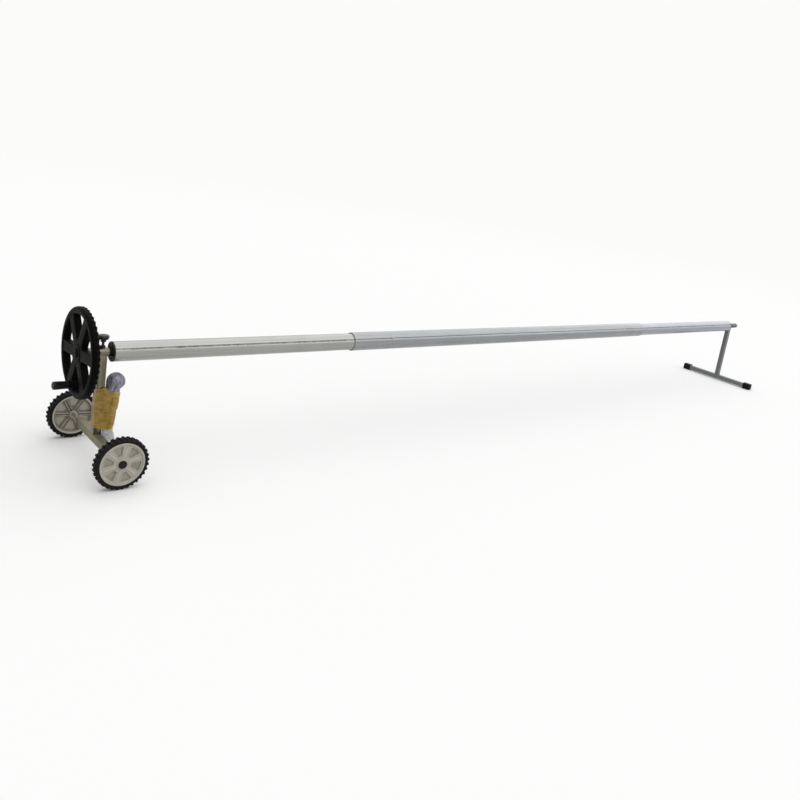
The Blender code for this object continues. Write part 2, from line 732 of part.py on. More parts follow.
def wheel_rim(name, side, turned_by, parent):
    """Add a moulded wheel: pockets outside, and their backs, paired ribs and a hub ring inside."""
    half = 0.5 * TYRE_WIDTH
    edge = half - 0.001
    bead = half - 0.004 + SEAT
    web = half - WEB_INSET
    back = web - WEB_THICKNESS
    barrel = RIM_SEAT_RADIUS - RIM_WALL
    recess = RING_RADIUS + 0.001
    ring = HUB_RING_RADIUS - HUB_RING_WALL
    profile = [(WHEEL_BORE, -half), (HUB_RADIUS - 0.004, -half), (HUB_RADIUS - 0.002, back),
               (ring, back), (ring, back - HUB_RING_DEPTH),
               (HUB_RING_RADIUS, back - HUB_RING_DEPTH), (HUB_RING_RADIUS, back),
               (barrel, back), (barrel, -edge), (RIM_RADIUS, -edge), (RIM_SEAT_RADIUS, -bead),
               (RIM_SEAT_RADIUS, bead), (RIM_RADIUS, edge), (barrel, edge),
               (barrel - 0.002, web), (HUB_RADIUS + 0.001, web),
               (HUB_RADIUS, half - 0.002), (recess, half - 0.002), (recess, back),
               (WHEEL_BORE, back)]
    shape = turned(profile, ROUND)
    turn = TURN_TO_Y if side > 0 else (math.radians(90), 0, 0)
    rim = piece(name, shape, grey_plastic(), parent, (0, 0, 0), turn)
    inner = HUB_RADIUS - 0.0045
    outer = barrel + 0.5 * RIM_WALL
    low = -half + RIB_SETBACK
    high = web - 0.5 * WEB_THICKNESS
    ribs = []
    pockets = []
    pitch = math.tau / WHEEL_SPOKES
    for spoke in range(WHEEL_SPOKES):
        angle = -side * (turned_by + spoke * pitch)
        spin = Matrix.Rotation(angle, 4, "Z")
        for offset in (-RIB_SPREAD, RIB_SPREAD):
            place = Matrix.Translation((0.5 * (inner + outer), offset, 0.5 * (low + high)))
            ribs.append(block((outer - inner, RIB_THICKNESS, high - low), spin @ place))
        pocket = Matrix.Rotation(angle + 0.5 * pitch, 4, "Z")
        cut = prism(along_z, pocket_outline(0.0), web - POCKET_DEPTH, half)
        bmesh.ops.transform(cut, matrix=pocket, verts=cut.verts)
        pockets.append(cut)
        raised = prism(along_z, pocket_outline(POCKET_WALL), back - POCKET_BACK,
                       back + 0.25 * WEB_THICKNESS)
        bmesh.ops.transform(raised, matrix=pocket, verts=raised.verts)
        ribs.append(raised)
        reach = HUB_RING_RADIUS - 0.5 * HUB_RING_WALL - inner
        place = Matrix.Translation((inner + 0.5 * reach, 0, back - 0.4 * GUSSET_DEPTH))
        ribs.append(block((reach, GUSSET_THICKNESS, GUSSET_DEPTH), pocket @ place))
    combine(rim, guide(f"{name}_ribs", merge(ribs), parent, (0, 0, 0), turn), "UNION")
    combine(rim, guide(f"{name}_pockets", merge(pockets), parent, (0, 0, 0), turn), "DIFFERENCE")


def hub_cap(name, side, parent):
    """Add the domed cap that covers the end of the axle."""
    half = 0.5 * TYRE_WIDTH
    base = half - 0.002 + SEAT
    skirt = RING_RADIUS + 0.001 - SEAT
    inside = half - WEB_INSET - WEB_THICKNESS + RING_THICKNESS + SEAT
    profile = [(0, base), (skirt - 0.002, base), (skirt - 0.002, inside), (skirt, inside),
               (skirt, base), (HUB_CAP_RADIUS, base), (HUB_CAP_RADIUS, base + 0.5 * HUB_CAP_HEIGHT),
               (0.72 * HUB_CAP_RADIUS, base + 0.88 * HUB_CAP_HEIGHT), (0, base + HUB_CAP_HEIGHT)]
    turn = TURN_TO_Y if side > 0 else (math.radians(90), 0, 0)
    piece(name, turned(profile, SMALL_ROUND, closed=False), black_plastic(), parent, (0, 0, 0), turn)


def wheel(suffix, side, root):
    """Add one wheel about its own axis."""
    axis = empty(f"wheel_axis_{suffix}", (LEFT_POST, side * WHEEL_PLANE, TYRE_RADIUS), root)
    tyre(f"tyre_{suffix}", axis)
    wheel_rim(f"wheel_rim_{suffix}", side, WHEEL_TURNS[suffix], axis)
    hub_cap(f"hub_cap_{suffix}", side, axis)


def handwheel_rim():
    """Return the handwheel's rim, with finger bumps round the back of its outer edge."""
    middle = HANDWHEEL_RADIUS - 0.5 * HANDWHEEL_RIM
    sides = 8
    steps = 2 * FINGER_BUMPS
    rings = []
    for step in range(steps):
        angle = math.tau * step / steps
        wave = 0.5 - 0.5 * math.cos(FINGER_BUMPS * angle)
        ring = []
        for side in range(sides):
            turn = math.tau * (side + 0.5) / sides
            across = math.copysign(abs(math.cos(turn)) ** 0.7, math.cos(turn))
            deep = math.copysign(abs(math.sin(turn)) ** 0.7, math.sin(turn))
            radius = middle + 0.5 * HANDWHEEL_RIM * across
            if across > 0 and deep > 0:
                radius -= BUMP_DEPTH * wave
            x = HANDWHEEL_PLANE + 0.5 * HANDWHEEL_DEPTH * deep
            ring.append(Vector((x, radius * math.cos(angle), radius * math.sin(angle))))
        rings.append(ring)
    return loft(rings, closed=True)


def handwheel_spokes():
    """Return the six spokes as one star-shaped slab."""
    half = 0.5 * SPOKE_WIDTH
    pitch = math.tau / SPOKE_COUNT
    reach = HANDWHEEL_RADIUS - 0.5 * HANDWHEEL_RIM
    outline = []
    for spoke in range(SPOKE_COUNT):
        angle = SPOKE_PHASE + spoke * pitch
        for across in (-half, half):
            outline.append((reach * math.cos(angle) - across * math.sin(angle),
                            reach * math.sin(angle) + across * math.cos(angle)))
        notch = half / math.sin(0.5 * pitch)
        outline.append((notch * math.cos(angle + 0.5 * pitch), notch * math.sin(angle + 0.5 * pitch)))
    front = HANDWHEEL_PLANE - 0.5 * SPOKE_DEPTH
    return prism(along_x, outline, front, front + SPOKE_DEPTH)


def spoke_pockets():
    """Return the shapes that hollow each spoke from the back."""
    inner = HANDWHEEL_HUB_RADIUS + SPOKE_EDGE
    outer = HANDWHEEL_RADIUS - HANDWHEEL_RIM - SPOKE_EDGE
    width = SPOKE_WIDTH - 2 * SPOKE_EDGE
    front = HANDWHEEL_PLANE - 0.5 * SPOKE_DEPTH + SPOKE_FACE
    back = HANDWHEEL_PLANE + SPOKE_DEPTH
    start = max(inner, 0.5 * width / math.tan(math.pi / SPOKE_COUNT) + SPOKE_EDGE)
    cuts = []
    for spoke in range(SPOKE_COUNT):
        turn = Matrix.Rotation(SPOKE_PHASE + spoke * math.tau / SPOKE_COUNT, 4, "X")
        place = Matrix.Translation((0.5 * (front + back), 0.5 * (start + outer), 0))
        cuts.append(block((back - front, outer - start, width), turn @ place))
    return merge(cuts)


def grip_place():
    return (GRIP_ORBIT * math.cos(GRIP_ANGLE), GRIP_ORBIT * math.sin(GRIP_ANGLE))


def handwheel(axis):
    """Add the moulded handwheel: rim, spokes, hub and the boss for the grip."""
    wheel_body = piece("handwheel", handwheel_rim(), black_plastic(), axis)
    combine(wheel_body, guide("handwheel_spokes", handwheel_spokes(), axis), "UNION")
    hub = rod(HANDWHEEL_HUB_RADIUS, HUB_FRONT, HUB_BACK, 0.002)
    combine(wheel_body, guide("handwheel_hub", hub, axis, (0, 0, 0), TURN_TO_X), "UNION")
    y, z = grip_place()
    boss = rod(BOSS_RADIUS, BOSS_FRONT, BOSS_BACK, 0.002, MEDIUM_ROUND)
    combine(wheel_body, guide("handwheel_boss", boss, axis, (0, y, z), TURN_TO_X), "UNION")
    combine(wheel_body, guide("handwheel_pockets", spoke_pockets(), axis), "DIFFERENCE")
    core = [(0, HUB_FRONT - SEAT), (HUB_RECESS_RADIUS, HUB_FRONT - SEAT),
            (HUB_RECESS_RADIUS, HUB_WALL_FRONT), (HUB_BOLT_RADIUS + SEAT, HUB_WALL_FRONT),
            (HUB_BOLT_RADIUS + SEAT, HUB_WALL_BACK), (AXLE_RADIUS + SEAT, HUB_WALL_BACK),
            (AXLE_RADIUS + SEAT, HUB_BACK + SEAT), (0, HUB_BACK + SEAT)]
    bore = guide("handwheel_bore", turned(core, closed=False), axis, (0, 0, 0), TURN_TO_X)
    combine(wheel_body, bore, "DIFFERENCE")
    drill = rod(GRIP_BOLT_RADIUS + SEAT, BOSS_FRONT - BOSS_PROUD, BOSS_BACK + BOSS_PROUD, 0.0,
                SMALL_ROUND)
    hole = guide("handwheel_grip_drill", drill, axis, (0, y, z), TURN_TO_X)
    combine(wheel_body, hole, "DIFFERENCE")


def handwheel_bolt(axis):
    """Add the hexagon bolt that clamps the handwheel to the axle."""
    seat = HUB_WALL_FRONT - SEAT
    head = prism(along_x, hexagon(BOLT_HEAD_ACROSS), seat - BOLT_HEAD_HEIGHT, seat)
    bolt = piece("handwheel_bolt", head, zinc(), axis)
    end = HUB_WALL_BACK + HUB_BOLT_DEPTH
    shank = rod(HUB_BOLT_RADIUS, seat - 0.5 * BOLT_HEAD_HEIGHT, end, 0.0006, SMALL_ROUND)
    combine(bolt, guide("handwheel_bolt_shank", shank, axis, (0, 0, 0), TURN_TO_X), "UNION")


def handwheel_cap(axis):
    """Add the plastic cap over the handwheel's bolt."""
    skirt = HUB_RECESS_RADIUS - SEAT
    inner = skirt - 0.002
    lip = HUB_FRONT - SEAT
    profile = [(0, lip), (inner, lip), (inner, lip + 0.006), (skirt, lip + 0.006), (skirt, lip),
               (skirt + 0.003, lip), (skirt + 0.003, lip - 0.4 * HUB_COVER_HEIGHT),
               (0.75 * skirt, lip - 0.9 * HUB_COVER_HEIGHT), (0, lip - HUB_COVER_HEIGHT)]
    piece("handwheel_cap", turned(profile, MEDIUM_ROUND, closed=False), black_plastic(), axis, (0, 0, 0),
          TURN_TO_X)


def drive_axle(axis):
    """Add the axle from the handwheel's hub to the left plug, tapped for the bolt."""
    start = HUB_WALL_BACK + SEAT
    depth = HUB_BOLT_DEPTH + 0.002
    bore = HUB_BOLT_RADIUS + SEAT
    profile = [(0, start + depth), (bore, start + depth), (bore, start),
               (AXLE_RADIUS - 0.001, start), (AXLE_RADIUS, start + 0.001),
               (AXLE_RADIUS, PLUG_DEPTH - 0.001), (AXLE_RADIUS - 0.001, PLUG_DEPTH),
               (0, PLUG_DEPTH)]
    piece("drive_axle", turned(profile, MEDIUM_ROUND, closed=False), stainless(), axis, (0, 0, 0), TURN_TO_X)


def crank_grip(axis):
    """Add the grip about its own bolt, with the bolt and its nut on the handwheel."""
    y, z = grip_place()
    hole = GRIP_BOLT_RADIUS + RUNNING
    seat = GRIP_HEAD_RECESS
    recess = GRIP_HEAD_RADIUS + RUNNING
    profile = [(hole, GRIP_LENGTH), (GRIP_RADIUS - 0.003, GRIP_LENGTH),
               (GRIP_RADIUS - 0.001, GRIP_LENGTH - 0.003),
               (GRIP_RADIUS - 0.0012, 0.70 * GRIP_LENGTH), (GRIP_RADIUS - 0.0004, 0.45 * GRIP_LENGTH),
               (GRIP_RADIUS, 0.20 * GRIP_LENGTH), (GRIP_RADIUS - 0.0008, 0.07 * GRIP_LENGTH),
               (GRIP_RADIUS - 0.0035, 0), (recess, 0), (recess, seat), (hole, seat)]
    spin = empty("grip_axis", (GRIP_LEFT, y, z), axis)
    piece("crank_grip", turned(profile, MEDIUM_ROUND), black_plastic(), spin, (0, 0, 0), TURN_TO_X)
    under = GRIP_LEFT + seat - SEAT
    end = BOSS_BACK + SEAT + NUT_HEIGHT + 0.001
    bolt = [(0, under - GRIP_HEAD_HEIGHT), (0.7 * GRIP_HEAD_RADIUS, under - GRIP_HEAD_HEIGHT),
            (GRIP_HEAD_RADIUS, under - 0.4 * GRIP_HEAD_HEIGHT), (GRIP_HEAD_RADIUS, under),
            (GRIP_BOLT_RADIUS, under), (GRIP_BOLT_RADIUS, end), (0, end)]
    piece("grip_bolt", turned(bolt, SMALL_ROUND, closed=False), zinc(), axis, (0, y, z), TURN_TO_X)
    back = BOSS_BACK + SEAT
    nut = pipe(along_x, circle(NUT_ACROSS / math.sqrt(3), SMALL_ROUND),
               circle(GRIP_BOLT_RADIUS + SEAT, SMALL_ROUND), back, back + NUT_HEIGHT)
    for vertex in nut.verts:
        flatten_to_hexagon(vertex.co)
    piece("grip_nut", nut, zinc(), axis, (0, y, z))


def flatten_to_hexagon(point):
    """Pull a point of the nut's outer circle onto the hexagon's flat."""
    reach = math.hypot(point.y, point.z)
    flat = 0.5 * NUT_ACROSS
    if reach > flat:
        angle = math.atan2(point.z, point.y)
        sector = math.pi / 3
        off = (angle + 0.5 * sector) % sector - 0.5 * sector
        scale = flat / math.cos(0.5 * sector - abs(off)) / reach
        point.y *= scale
        point.z *= scale


def kit_section(height):
    """Return the bundle's centre along X and its radius at a height."""
    if height <= KIT_NECK:
        share = (height - KIT_FOOT) / (KIT_NECK - KIT_FOOT)
        radius = KIT_FOOT_RADIUS + share * (KIT_NECK_RADIUS - KIT_FOOT_RADIUS)
    elif height <= KIT_SHOULDER:
        share = (height - KIT_NECK) / (KIT_SHOULDER - KIT_NECK)
        swell = math.sin(0.5 * math.pi * share)
        radius = KIT_NECK_RADIUS + swell * (KIT_HEAD_RADIUS - KIT_NECK_RADIUS)
    else:
        share = (height - KIT_SHOULDER) / (KIT_TOP - KIT_SHOULDER)
        radius = KIT_HEAD_RADIUS * math.sqrt(max(0.0, 1 - share * share))
    widest = KIT_HEAD_RADIUS if height > KIT_SHOULDER else radius
    return POST_FACE + widest, radius


def fitting_kit(root):
    """Add the rolled kit, the tape round it and the post, and the loose film under them."""
    heights = [KIT_FOOT + (KIT_NECK - KIT_FOOT) * step / 3 for step in range(4)]
    heights += [KIT_NECK + (KIT_SHOULDER - KIT_NECK) * step / 3 for step in range(1, 4)]
    heights += [KIT_SHOULDER + (KIT_TOP - KIT_SHOULDER) * math.sin(math.radians(angle))
                for angle in (25, 50, 74)]
    rings = []
    for height in heights:
        x, radius = kit_section(height)
        rings.append(along_z(circle(radius, MEDIUM_ROUND, (x, KIT_SIDE)), height))
    piece("kit_roll", loft(rings), kit_cloth(), root)
    shares = [step / 3 for step in range(4)]
    outside = [wrap_ring(share, WRAP_GAP + WRAP_THICKNESS) for share in shares]
    inside = [wrap_ring(share, WRAP_GAP) for share in reversed(shares)]
    piece("kit_wrap", loft(outside + inside, closed=True), brown_tape(), root)
    top = KIT_FOOT - SEAT
    centre, radius = kit_section(KIT_FOOT)
    film = []
    for share in (0.0, 0.5, 1.0):
        x = centre + share * (POST_FACE + FILM_HALF_WIDTH - centre)
        y = KIT_SIDE + share * (FILM_SIDE - KIT_SIDE)
        wide = radius + share * (FILM_HALF_WIDTH - radius)
        deep = radius + share * (FILM_HALF_DEPTH - radius)
        ring = [(x + wide * cos, y + deep * sin) for cos, sin in circle(1.0, MEDIUM_ROUND)]
        film.append(along_z(ring, top + share * (FILM_BOTTOM - top)))
    piece("kit_film", loft(film), clear_film(), root)


def wrap_ring(share, offset):
    """Return the outline round the post and the bundle, offset outwards, part way up the tape."""
    level = KIT_FOOT + (WRAP_TOP - KIT_FOOT) * share
    x, radius = kit_section(level)
    corner = 0.5 * SQUARE_SIDE
    ring = []
    for step in range(WRAP_STEPS):
        angle = math.tau * (step + 0.5) / WRAP_STEPS
        way = Vector((math.cos(angle), math.sin(angle)))
        on_post = Vector((LEFT_POST + math.copysign(corner, way.x), math.copysign(corner, way.y)))
        on_roll = Vector((x, KIT_SIDE)) + radius * way
        furthest = on_post if on_post.dot(way) > on_roll.dot(way) else on_roll
        point = furthest + offset * way
        height = level + share * WRAP_TILT * (LEFT_POST - point.x)
        ring.append(Vector((point.x, point.y, height)))
    return ring


def foot_cap(name, side, parent):
    """Add a rubber cap over one end of the foot bar."""
    end = side * 0.5 * FOOT_BAR_LENGTH
    face = end + side * (SEAT + FOOT_CAP_END)
    mouth = face - side * FOOT_CAP_LENGTH
    outer = rounded_square(FOOT_CAP_SIDE, FOOT_CAP_CORNER)
    flare = rounded_square(FOOT_CAP_SIDE, FOOT_CAP_CORNER)
    eased = rounded_square(FOOT_CAP_SIDE - 0.006, FOOT_CAP_CORNER - 0.002)
    inner = rounded_square(SQUARE_SIDE + 2 * SEAT, SQUARE_CORNER + SEAT)
    rings = [along_y(inner, end + side * SEAT), along_y(inner, mouth), along_y(flare, mouth),
             along_y(outer, face - side * 0.003), along_y(eased, face)]
    piece(name, loft(rings), black_rubber(), parent, (0, 0, FOOT_BAR_HEIGHT))


def idler_stand(root):
    """Add the plain stand at the far end, turned about the roller's axis."""
    axis = empty("idler_axis", (0, 0, ROLLER_HEIGHT), root)
    stand = empty("idler_stand_base", (0, 0, -ROLLER_HEIGHT), axis)
    post("right_post", FOOT_BAR_TOP, grey_steel(), stand, (RIGHT_POST, 0, 0))
    sleeve("right_sleeve", RIGHT_SLEEVE_START, RIGHT_SLEEVE_END, grey_steel(), stand)
    bearing("right_bush_inner", RIGHT_SLEEVE_START, 1, stand)
    bearing("right_bush_outer", RIGHT_SLEEVE_END, -1, stand)
    foot = empty("foot_line", (RIGHT_POST, 0, 0), stand)
    half = 0.5 * FOOT_BAR_LENGTH
    square_tube("foot_bar", along_y, -half, half, grey_steel(), foot, (0, 0, FOOT_BAR_HEIGHT))
    foot_cap("foot_cap_front", -1, foot)
    foot_cap("foot_cap_rear", 1, foot)


def idler_axle(axis):
    """Add the axle in the right plug and the collar that keeps the stand on it."""
    start = ROLLER_END - PLUG_DEPTH
    piece("idler_axle", rod(AXLE_RADIUS, start, IDLER_AXLE_END, 0.0015, MEDIUM_ROUND),
          stainless(), axis, (0, 0, 0), TURN_TO_X)
    bore = AXLE_RADIUS + SEAT
    edge = 0.001
    profile = [(bore, COLLAR_START), (SLEEVE_RADIUS - edge, COLLAR_START),
               (SLEEVE_RADIUS, COLLAR_START + edge), (SLEEVE_RADIUS, COLLAR_END - edge),
               (SLEEVE_RADIUS - edge, COLLAR_END), (bore, COLLAR_END)]
    piece("axle_collar", turned(profile, MEDIUM_ROUND), zinc(), axis, (0, 0, 0), TURN_TO_X)


def build():
    """Build the whole reel."""
    clear_scene()
    root = empty("reel", (SHIFT, 0, 0))
    drive_stand(root)
    axle_rings(root)
    locking_screw(root)
    wheel("front", -1, root)
    wheel("rear", 1, root)
    fitting_kit(root)
    roller = empty("roller_axis", (0, 0, ROLLER_HEIGHT), root)
    handwheel(roller)
    handwheel_bolt(roller)
    handwheel_cap(roller)
    drive_axle(roller)
    crank_grip(roller)
    end_tube("tube_left", 0.0, LEFT_SHOWN + LEFT_INSIDE, roller)
    tube_plug("tube_plug_left", 0.0, 1, roller)
    middle = empty("middle_section_axis", (0, 0, 0), roller)
    middle_tube(middle)
    section_screws(middle)
    guide_bush("guide_bush_left", MIDDLE_START, 1, middle)
    guide_bush("guide_bush_right", MIDDLE_END, -1, middle)
    far = empty("far_section_axis", (0, 0, 0), middle)
    end_tube("tube_right", MIDDLE_END - RIGHT_INSIDE, ROLLER_END, far)
    tube_plug("tube_plug_right", ROLLER_END, -1, far)
    idler_axle(far)
    idler_stand(root)


build()
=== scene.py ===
"""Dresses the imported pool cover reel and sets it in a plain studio.

Sizes are in metres. Each class below builds one sub-assembly in the reel's own frame: X runs
along the roller from the left tube's end, Y along the wheels' axle, and Z up from the floor.
"""

from __future__ import annotations

import json
import logging
import math
from dataclasses import dataclass, field, replace
from enum import Enum
from typing import Callable, ClassVar, Optional, Sequence

import bmesh
import bpy
from mathutils import Matrix, Vector, noise

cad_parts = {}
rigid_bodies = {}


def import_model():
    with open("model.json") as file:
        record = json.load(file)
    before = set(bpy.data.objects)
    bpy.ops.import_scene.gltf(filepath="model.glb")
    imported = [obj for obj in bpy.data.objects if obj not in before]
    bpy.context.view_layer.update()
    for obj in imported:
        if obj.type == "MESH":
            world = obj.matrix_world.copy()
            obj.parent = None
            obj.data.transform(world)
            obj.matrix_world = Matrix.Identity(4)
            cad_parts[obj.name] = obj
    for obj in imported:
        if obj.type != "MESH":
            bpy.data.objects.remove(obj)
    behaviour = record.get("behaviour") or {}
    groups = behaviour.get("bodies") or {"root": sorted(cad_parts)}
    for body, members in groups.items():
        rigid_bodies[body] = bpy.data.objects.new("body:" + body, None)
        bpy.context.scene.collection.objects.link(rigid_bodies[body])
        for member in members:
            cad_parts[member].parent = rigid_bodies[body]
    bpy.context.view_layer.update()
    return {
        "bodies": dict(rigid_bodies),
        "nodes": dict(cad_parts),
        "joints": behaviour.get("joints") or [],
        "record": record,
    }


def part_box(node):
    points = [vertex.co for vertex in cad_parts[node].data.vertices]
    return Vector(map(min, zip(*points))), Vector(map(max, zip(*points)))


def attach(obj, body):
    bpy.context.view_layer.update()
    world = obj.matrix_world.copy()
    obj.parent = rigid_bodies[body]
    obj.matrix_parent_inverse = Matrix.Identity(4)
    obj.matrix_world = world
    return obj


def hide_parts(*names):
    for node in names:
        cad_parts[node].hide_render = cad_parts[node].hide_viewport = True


LOG = logging.getLogger("pool_cover_reel")
MM = 0.001
# Places that several sub-assemblies share, and the clearance where one piece sits in another
ROLLER_HEIGHT = 0.428
ROLLER_AXIS = Vector((0, 0, ROLLER_HEIGHT))
DRIVE_POST = -35.5 * MM
AXLE_HEIGHT = 96.0 * MM
SEAT = 0.3 * MM

Outline = list[tuple[float, float]]
Ring = list[Vector]
Shape = bmesh.types.BMesh
Tree = bpy.types.NodeTree
Node = bpy.types.Node
Socket = bpy.types.NodeSocket


class Slot(Enum):
    """The record's material slots."""

    TUBE = "anodised_aluminium"
    STAINLESS = "stainless_steel"
    GREY_STEEL = "grey_steel_tube"
    ZINC = "zinc_plated_steel"
    BLACK_STEEL = "black_steel"
    MOULDING = "black_plastic"
    NYLON = "dark_nylon"
    WHEEL = "warm_grey_plastic"
    TYRE = "black_tyre"
    RUBBER = "black_rubber"
    BUNDLE = "grey_violet_bundle"
    TAPE = "brown_packing_tape"
    FILM = "clear_film"


class Axis(Enum):
    """An axis that a piece is turned about, with the two directions across it."""

    X = (Vector((1, 0, 0)), Vector((0, 1, 0)), Vector((0, 0, 1)))
    Y = (Vector((0, 1, 0)), Vector((0, 0, 1)), Vector((1, 0, 0)))
    Z = (Vector((0, 0, 1)), Vector((1, 0, 0)), Vector((0, 1, 0)))

    def point(self, along: float, radius: float, angle: float) -> Vector:
        """Return the point at a distance along the axis, a radius and an angle round it."""
        way, first, second = self.value
        return way * along + (first * math.cos(angle) + second * math.sin(angle)) * radius

    def ring(self, outline: Outline, along: float, centre: Vector) -> Ring:
        """Return an outline's points at a distance along the axis."""
        way, first, second = self.value
        return [centre + way * along + first * a + second * b for a, b in outline]


def linear(code: str) -> tuple[float, float, float, float]:
    """Turn an sRGB hex colour into linear values.

    Args:
        code: Six hex digits, with or without a leading mark.

    Returns:
        Red, green, blue and an alpha of one.
    """
    digits = code.lstrip("#")
    values = []
    for place in (0, 2, 4):
        share = int(digits[place:place + 2], 16) / 255
        values.append(share / 12.92 if share <= 0.04045 else ((share + 0.055) / 1.055) ** 2.4)
    return values[0], values[1], values[2], 1.0


def add_node(tree: Tree, kind: str, inputs: Optional[dict] = None, **settings: object) -> Node:
    """Add a node, with its settings and its inputs.

    Args:
        tree: The tree that gets the node.
        kind: The node's type.
        inputs: What each input socket holds, or the output that it is linked to.
        **settings: The node's own properties.

    Returns:
        The new node.
    """
    node = tree.nodes.new(kind)
    for name, value in settings.items():
        setattr(node, name, value)
    for key, value in (inputs or {}).items():
        if isinstance(value, Socket):
            tree.links.new(value, node.inputs[key])
        else:
            node.inputs[key].default_value = value
    return node


@dataclass(frozen=True)
class Finish:
    """A real surface: its material, how it was made, and what that gives the eye."""

    name: str
    slot: Slot
    colour: str
    tint: str
    roughness: float
    metallic: float = 0.0
    tint_share: float = 0.35
    patch_mm: float = 60.0
    grain_mm: float = 1.0
    grain_height_mm: float = 0.05
    swing: float = 0.08
    edge: str = ""
    along: Optional[Axis] = None
    specular: float = 0.5
    streak: float = 0.0
    drawn_out: ClassVar[float] = 0.006

    def material(self) -> bpy.types.Material:
        """Make this finish's material on its first use.

        Returns:
            The material.
        """
        made = bpy.data.materials.get(self.name)
        if made is None:
            made = bpy.data.materials.new(self.name)
            made.use_nodes = True
            tree = made.node_tree
            shader = tree.nodes["Principled BSDF"]
            shader.inputs["Base Color"].default_value = linear(self.colour)
            shader.inputs["Metallic"].default_value = self.metallic
            shader.inputs["Specular IOR Level"].default_value = self.specular
            self.dress(tree, shader, add_node(tree, "ShaderNodeTexCoord").outputs["Object"])
        return made

    def lay_over(self, tree: Tree, shader: Node, share: Socket,
                 colour: Socket | Sequence[float]) -> None:
        """Lay a colour over the shader's own colour.

        Args:
            tree: The material's tree.
            shader: The shader.
            share: How much of the new colour shows.
            colour: The new colour, as linear values or as a socket.
        """
        base = shader.inputs["Base Color"]
        under = base.links[0].from_socket if base.links else tuple(base.default_value)
        both = add_node(tree, "ShaderNodeMix", {0: share, 6: under, 7: colour}, data_type="RGBA")
        tree.links.new(both.outputs[2], base)

    def stretched(self, tree: Tree, place: Socket, size_mm: float) -> Socket:
        """Return coordinates in units of the grain, drawn out along the finish's lines.

        Args:
            tree: The material's tree.
            place: The object's coordinates.
            size_mm: The size of the grain across the lines.

        Returns:
            The scaled coordinates.
        """
        across = 1 / (size_mm * MM)
        scale = [across, across, across]
        if self.along is not None:
            scale["XYZ".index(self.along.name)] = across * self.drawn_out
        return add_node(tree, "ShaderNodeMapping", {"Vector": place, "Scale": scale}).outputs[0]

    def dress(self, tree: Tree, shader: Node, place: Socket) -> None:
        """Give the shader this finish's colour, gloss and grain.

        Args:
            tree: The material's tree.
            shader: The shader that gets them.
            place: The object's coordinates.
        """
        patch = add_node(tree, "ShaderNodeTexNoise", {
            "Vector": place, "Scale": 1 / (self.patch_mm * MM), "Detail": 5.0, "Roughness": 0.6})
        share = add_node(tree, "ShaderNodeMapRange", {
            "Value": patch.outputs["Fac"], "From Min": 0.38, "From Max": 0.68,
            "To Min": 0.0, "To Max": self.tint_share})
        grain = add_node(tree, "ShaderNodeTexNoise", {
            "Vector": self.stretched(tree, place, self.grain_mm), "Scale": 1.0, "Detail": 3.0})
        self.lay_over(tree, shader, share.outputs["Result"], linear(self.tint))
        if self.streak:
            lines = add_node(tree, "ShaderNodeTexNoise", {
                "Vector": self.stretched(tree, place, 5 * self.grain_mm), "Scale": 1.0,
                "Detail": 4.0})
            drawn = add_node(tree, "ShaderNodeMapRange", {
                "Value": lines.outputs["Fac"], "From Min": 0.42, "From Max": 0.62,
                "To Max": self.streak})
            self.lay_over(tree, shader, drawn.outputs["Result"], linear(self.tint))
        # Paler where the mesh is pointy: edge wear on most finishes, painted highlights on the
        # sheets' folds
        if self.edge:
            edge_wear_and_highlight = add_node(tree, "ShaderNodeMapRange", {
                "Value": add_node(tree, "ShaderNodeNewGeometry").outputs["Pointiness"],
                "From Min": 0.53, "From Max": 0.62, "To Max": 0.6})
            self.lay_over(tree, shader, edge_wear_and_highlight.outputs["Result"], linear(self.edge))
        mixed = add_node(tree, "ShaderNodeMath", {
            0: patch.outputs["Fac"], 1: grain.outputs["Fac"]}, operation="ADD")
        gloss = add_node(tree, "ShaderNodeMapRange", {
            "Value": mixed.outputs[0], "From Min": 0.6, "From Max": 1.4,
            "To Min": self.roughness - self.swing, "To Max": self.roughness + self.swing})
        tree.links.new(gloss.outputs["Result"], shader.inputs["Roughness"])
        bump = add_node(tree, "ShaderNodeBump", {
            "Height": grain.outputs["Fac"], "Strength": 0.6,
            "Distance": self.grain_height_mm * MM})
        tree.links.new(bump.outputs["Normal"], shader.inputs["Normal"])


@dataclass(frozen=True)
class WeldedSteel(Finish):
    """Stainless tube with the straw and blue heat tint that welding leaves near a joint."""

    joint: tuple[float, float, float] = (0.0, 0.0, 0.0)
    start_mm: float = 18.0
    reach_mm: float = 34.0
    wobble_mm: float = 12.0
    stops: tuple[tuple[float, str, float], ...] = (
        (0.0, "#7C7E84", 0.4), (0.35, "#8F8060", 0.35), (0.65, "#8E8463", 0.2))

    def dress(self, tree: Tree, shader: Node, place: Socket) -> None:
        """Give the shader the steel's look, with the tint round its joint.

        Args:
            tree: The material's tree.
            shader: The shader that gets them.
            place: The object's coordinates.
        """
        super().dress(tree, shader, place)
        distance = add_node(tree, "ShaderNodeVectorMath", {0: place, 1: self.joint},
                            operation="DISTANCE")
        wobble = add_node(tree, "ShaderNodeTexNoise", {"Vector": place, "Scale": 90.0})
        reach = add_node(tree, "ShaderNodeMath", {
            0: wobble.outputs["Fac"], 1: self.wobble_mm * MM, 2: distance.outputs["Value"]},
            operation="MULTIPLY_ADD")
        heat = add_node(tree, "ShaderNodeMapRange", {
            "Value": reach.outputs[0], "From Min": self.start_mm * MM,
            "From Max": self.reach_mm * MM})
        ramp = add_node(tree, "ShaderNodeValToRGB", {"Fac": heat.outputs["Result"]})
        elements = ramp.color_ramp.elements
        elements[1].color = (*linear(self.colour)[:3], 0.0)
        for position, code, share in self.stops:
            stop = elements.new(position) if position else elements[0]
            stop.color = (*linear(code)[:3], share)
        self.lay_over(tree, shader, ramp.outputs["Alpha"], ramp.outputs["Color"])


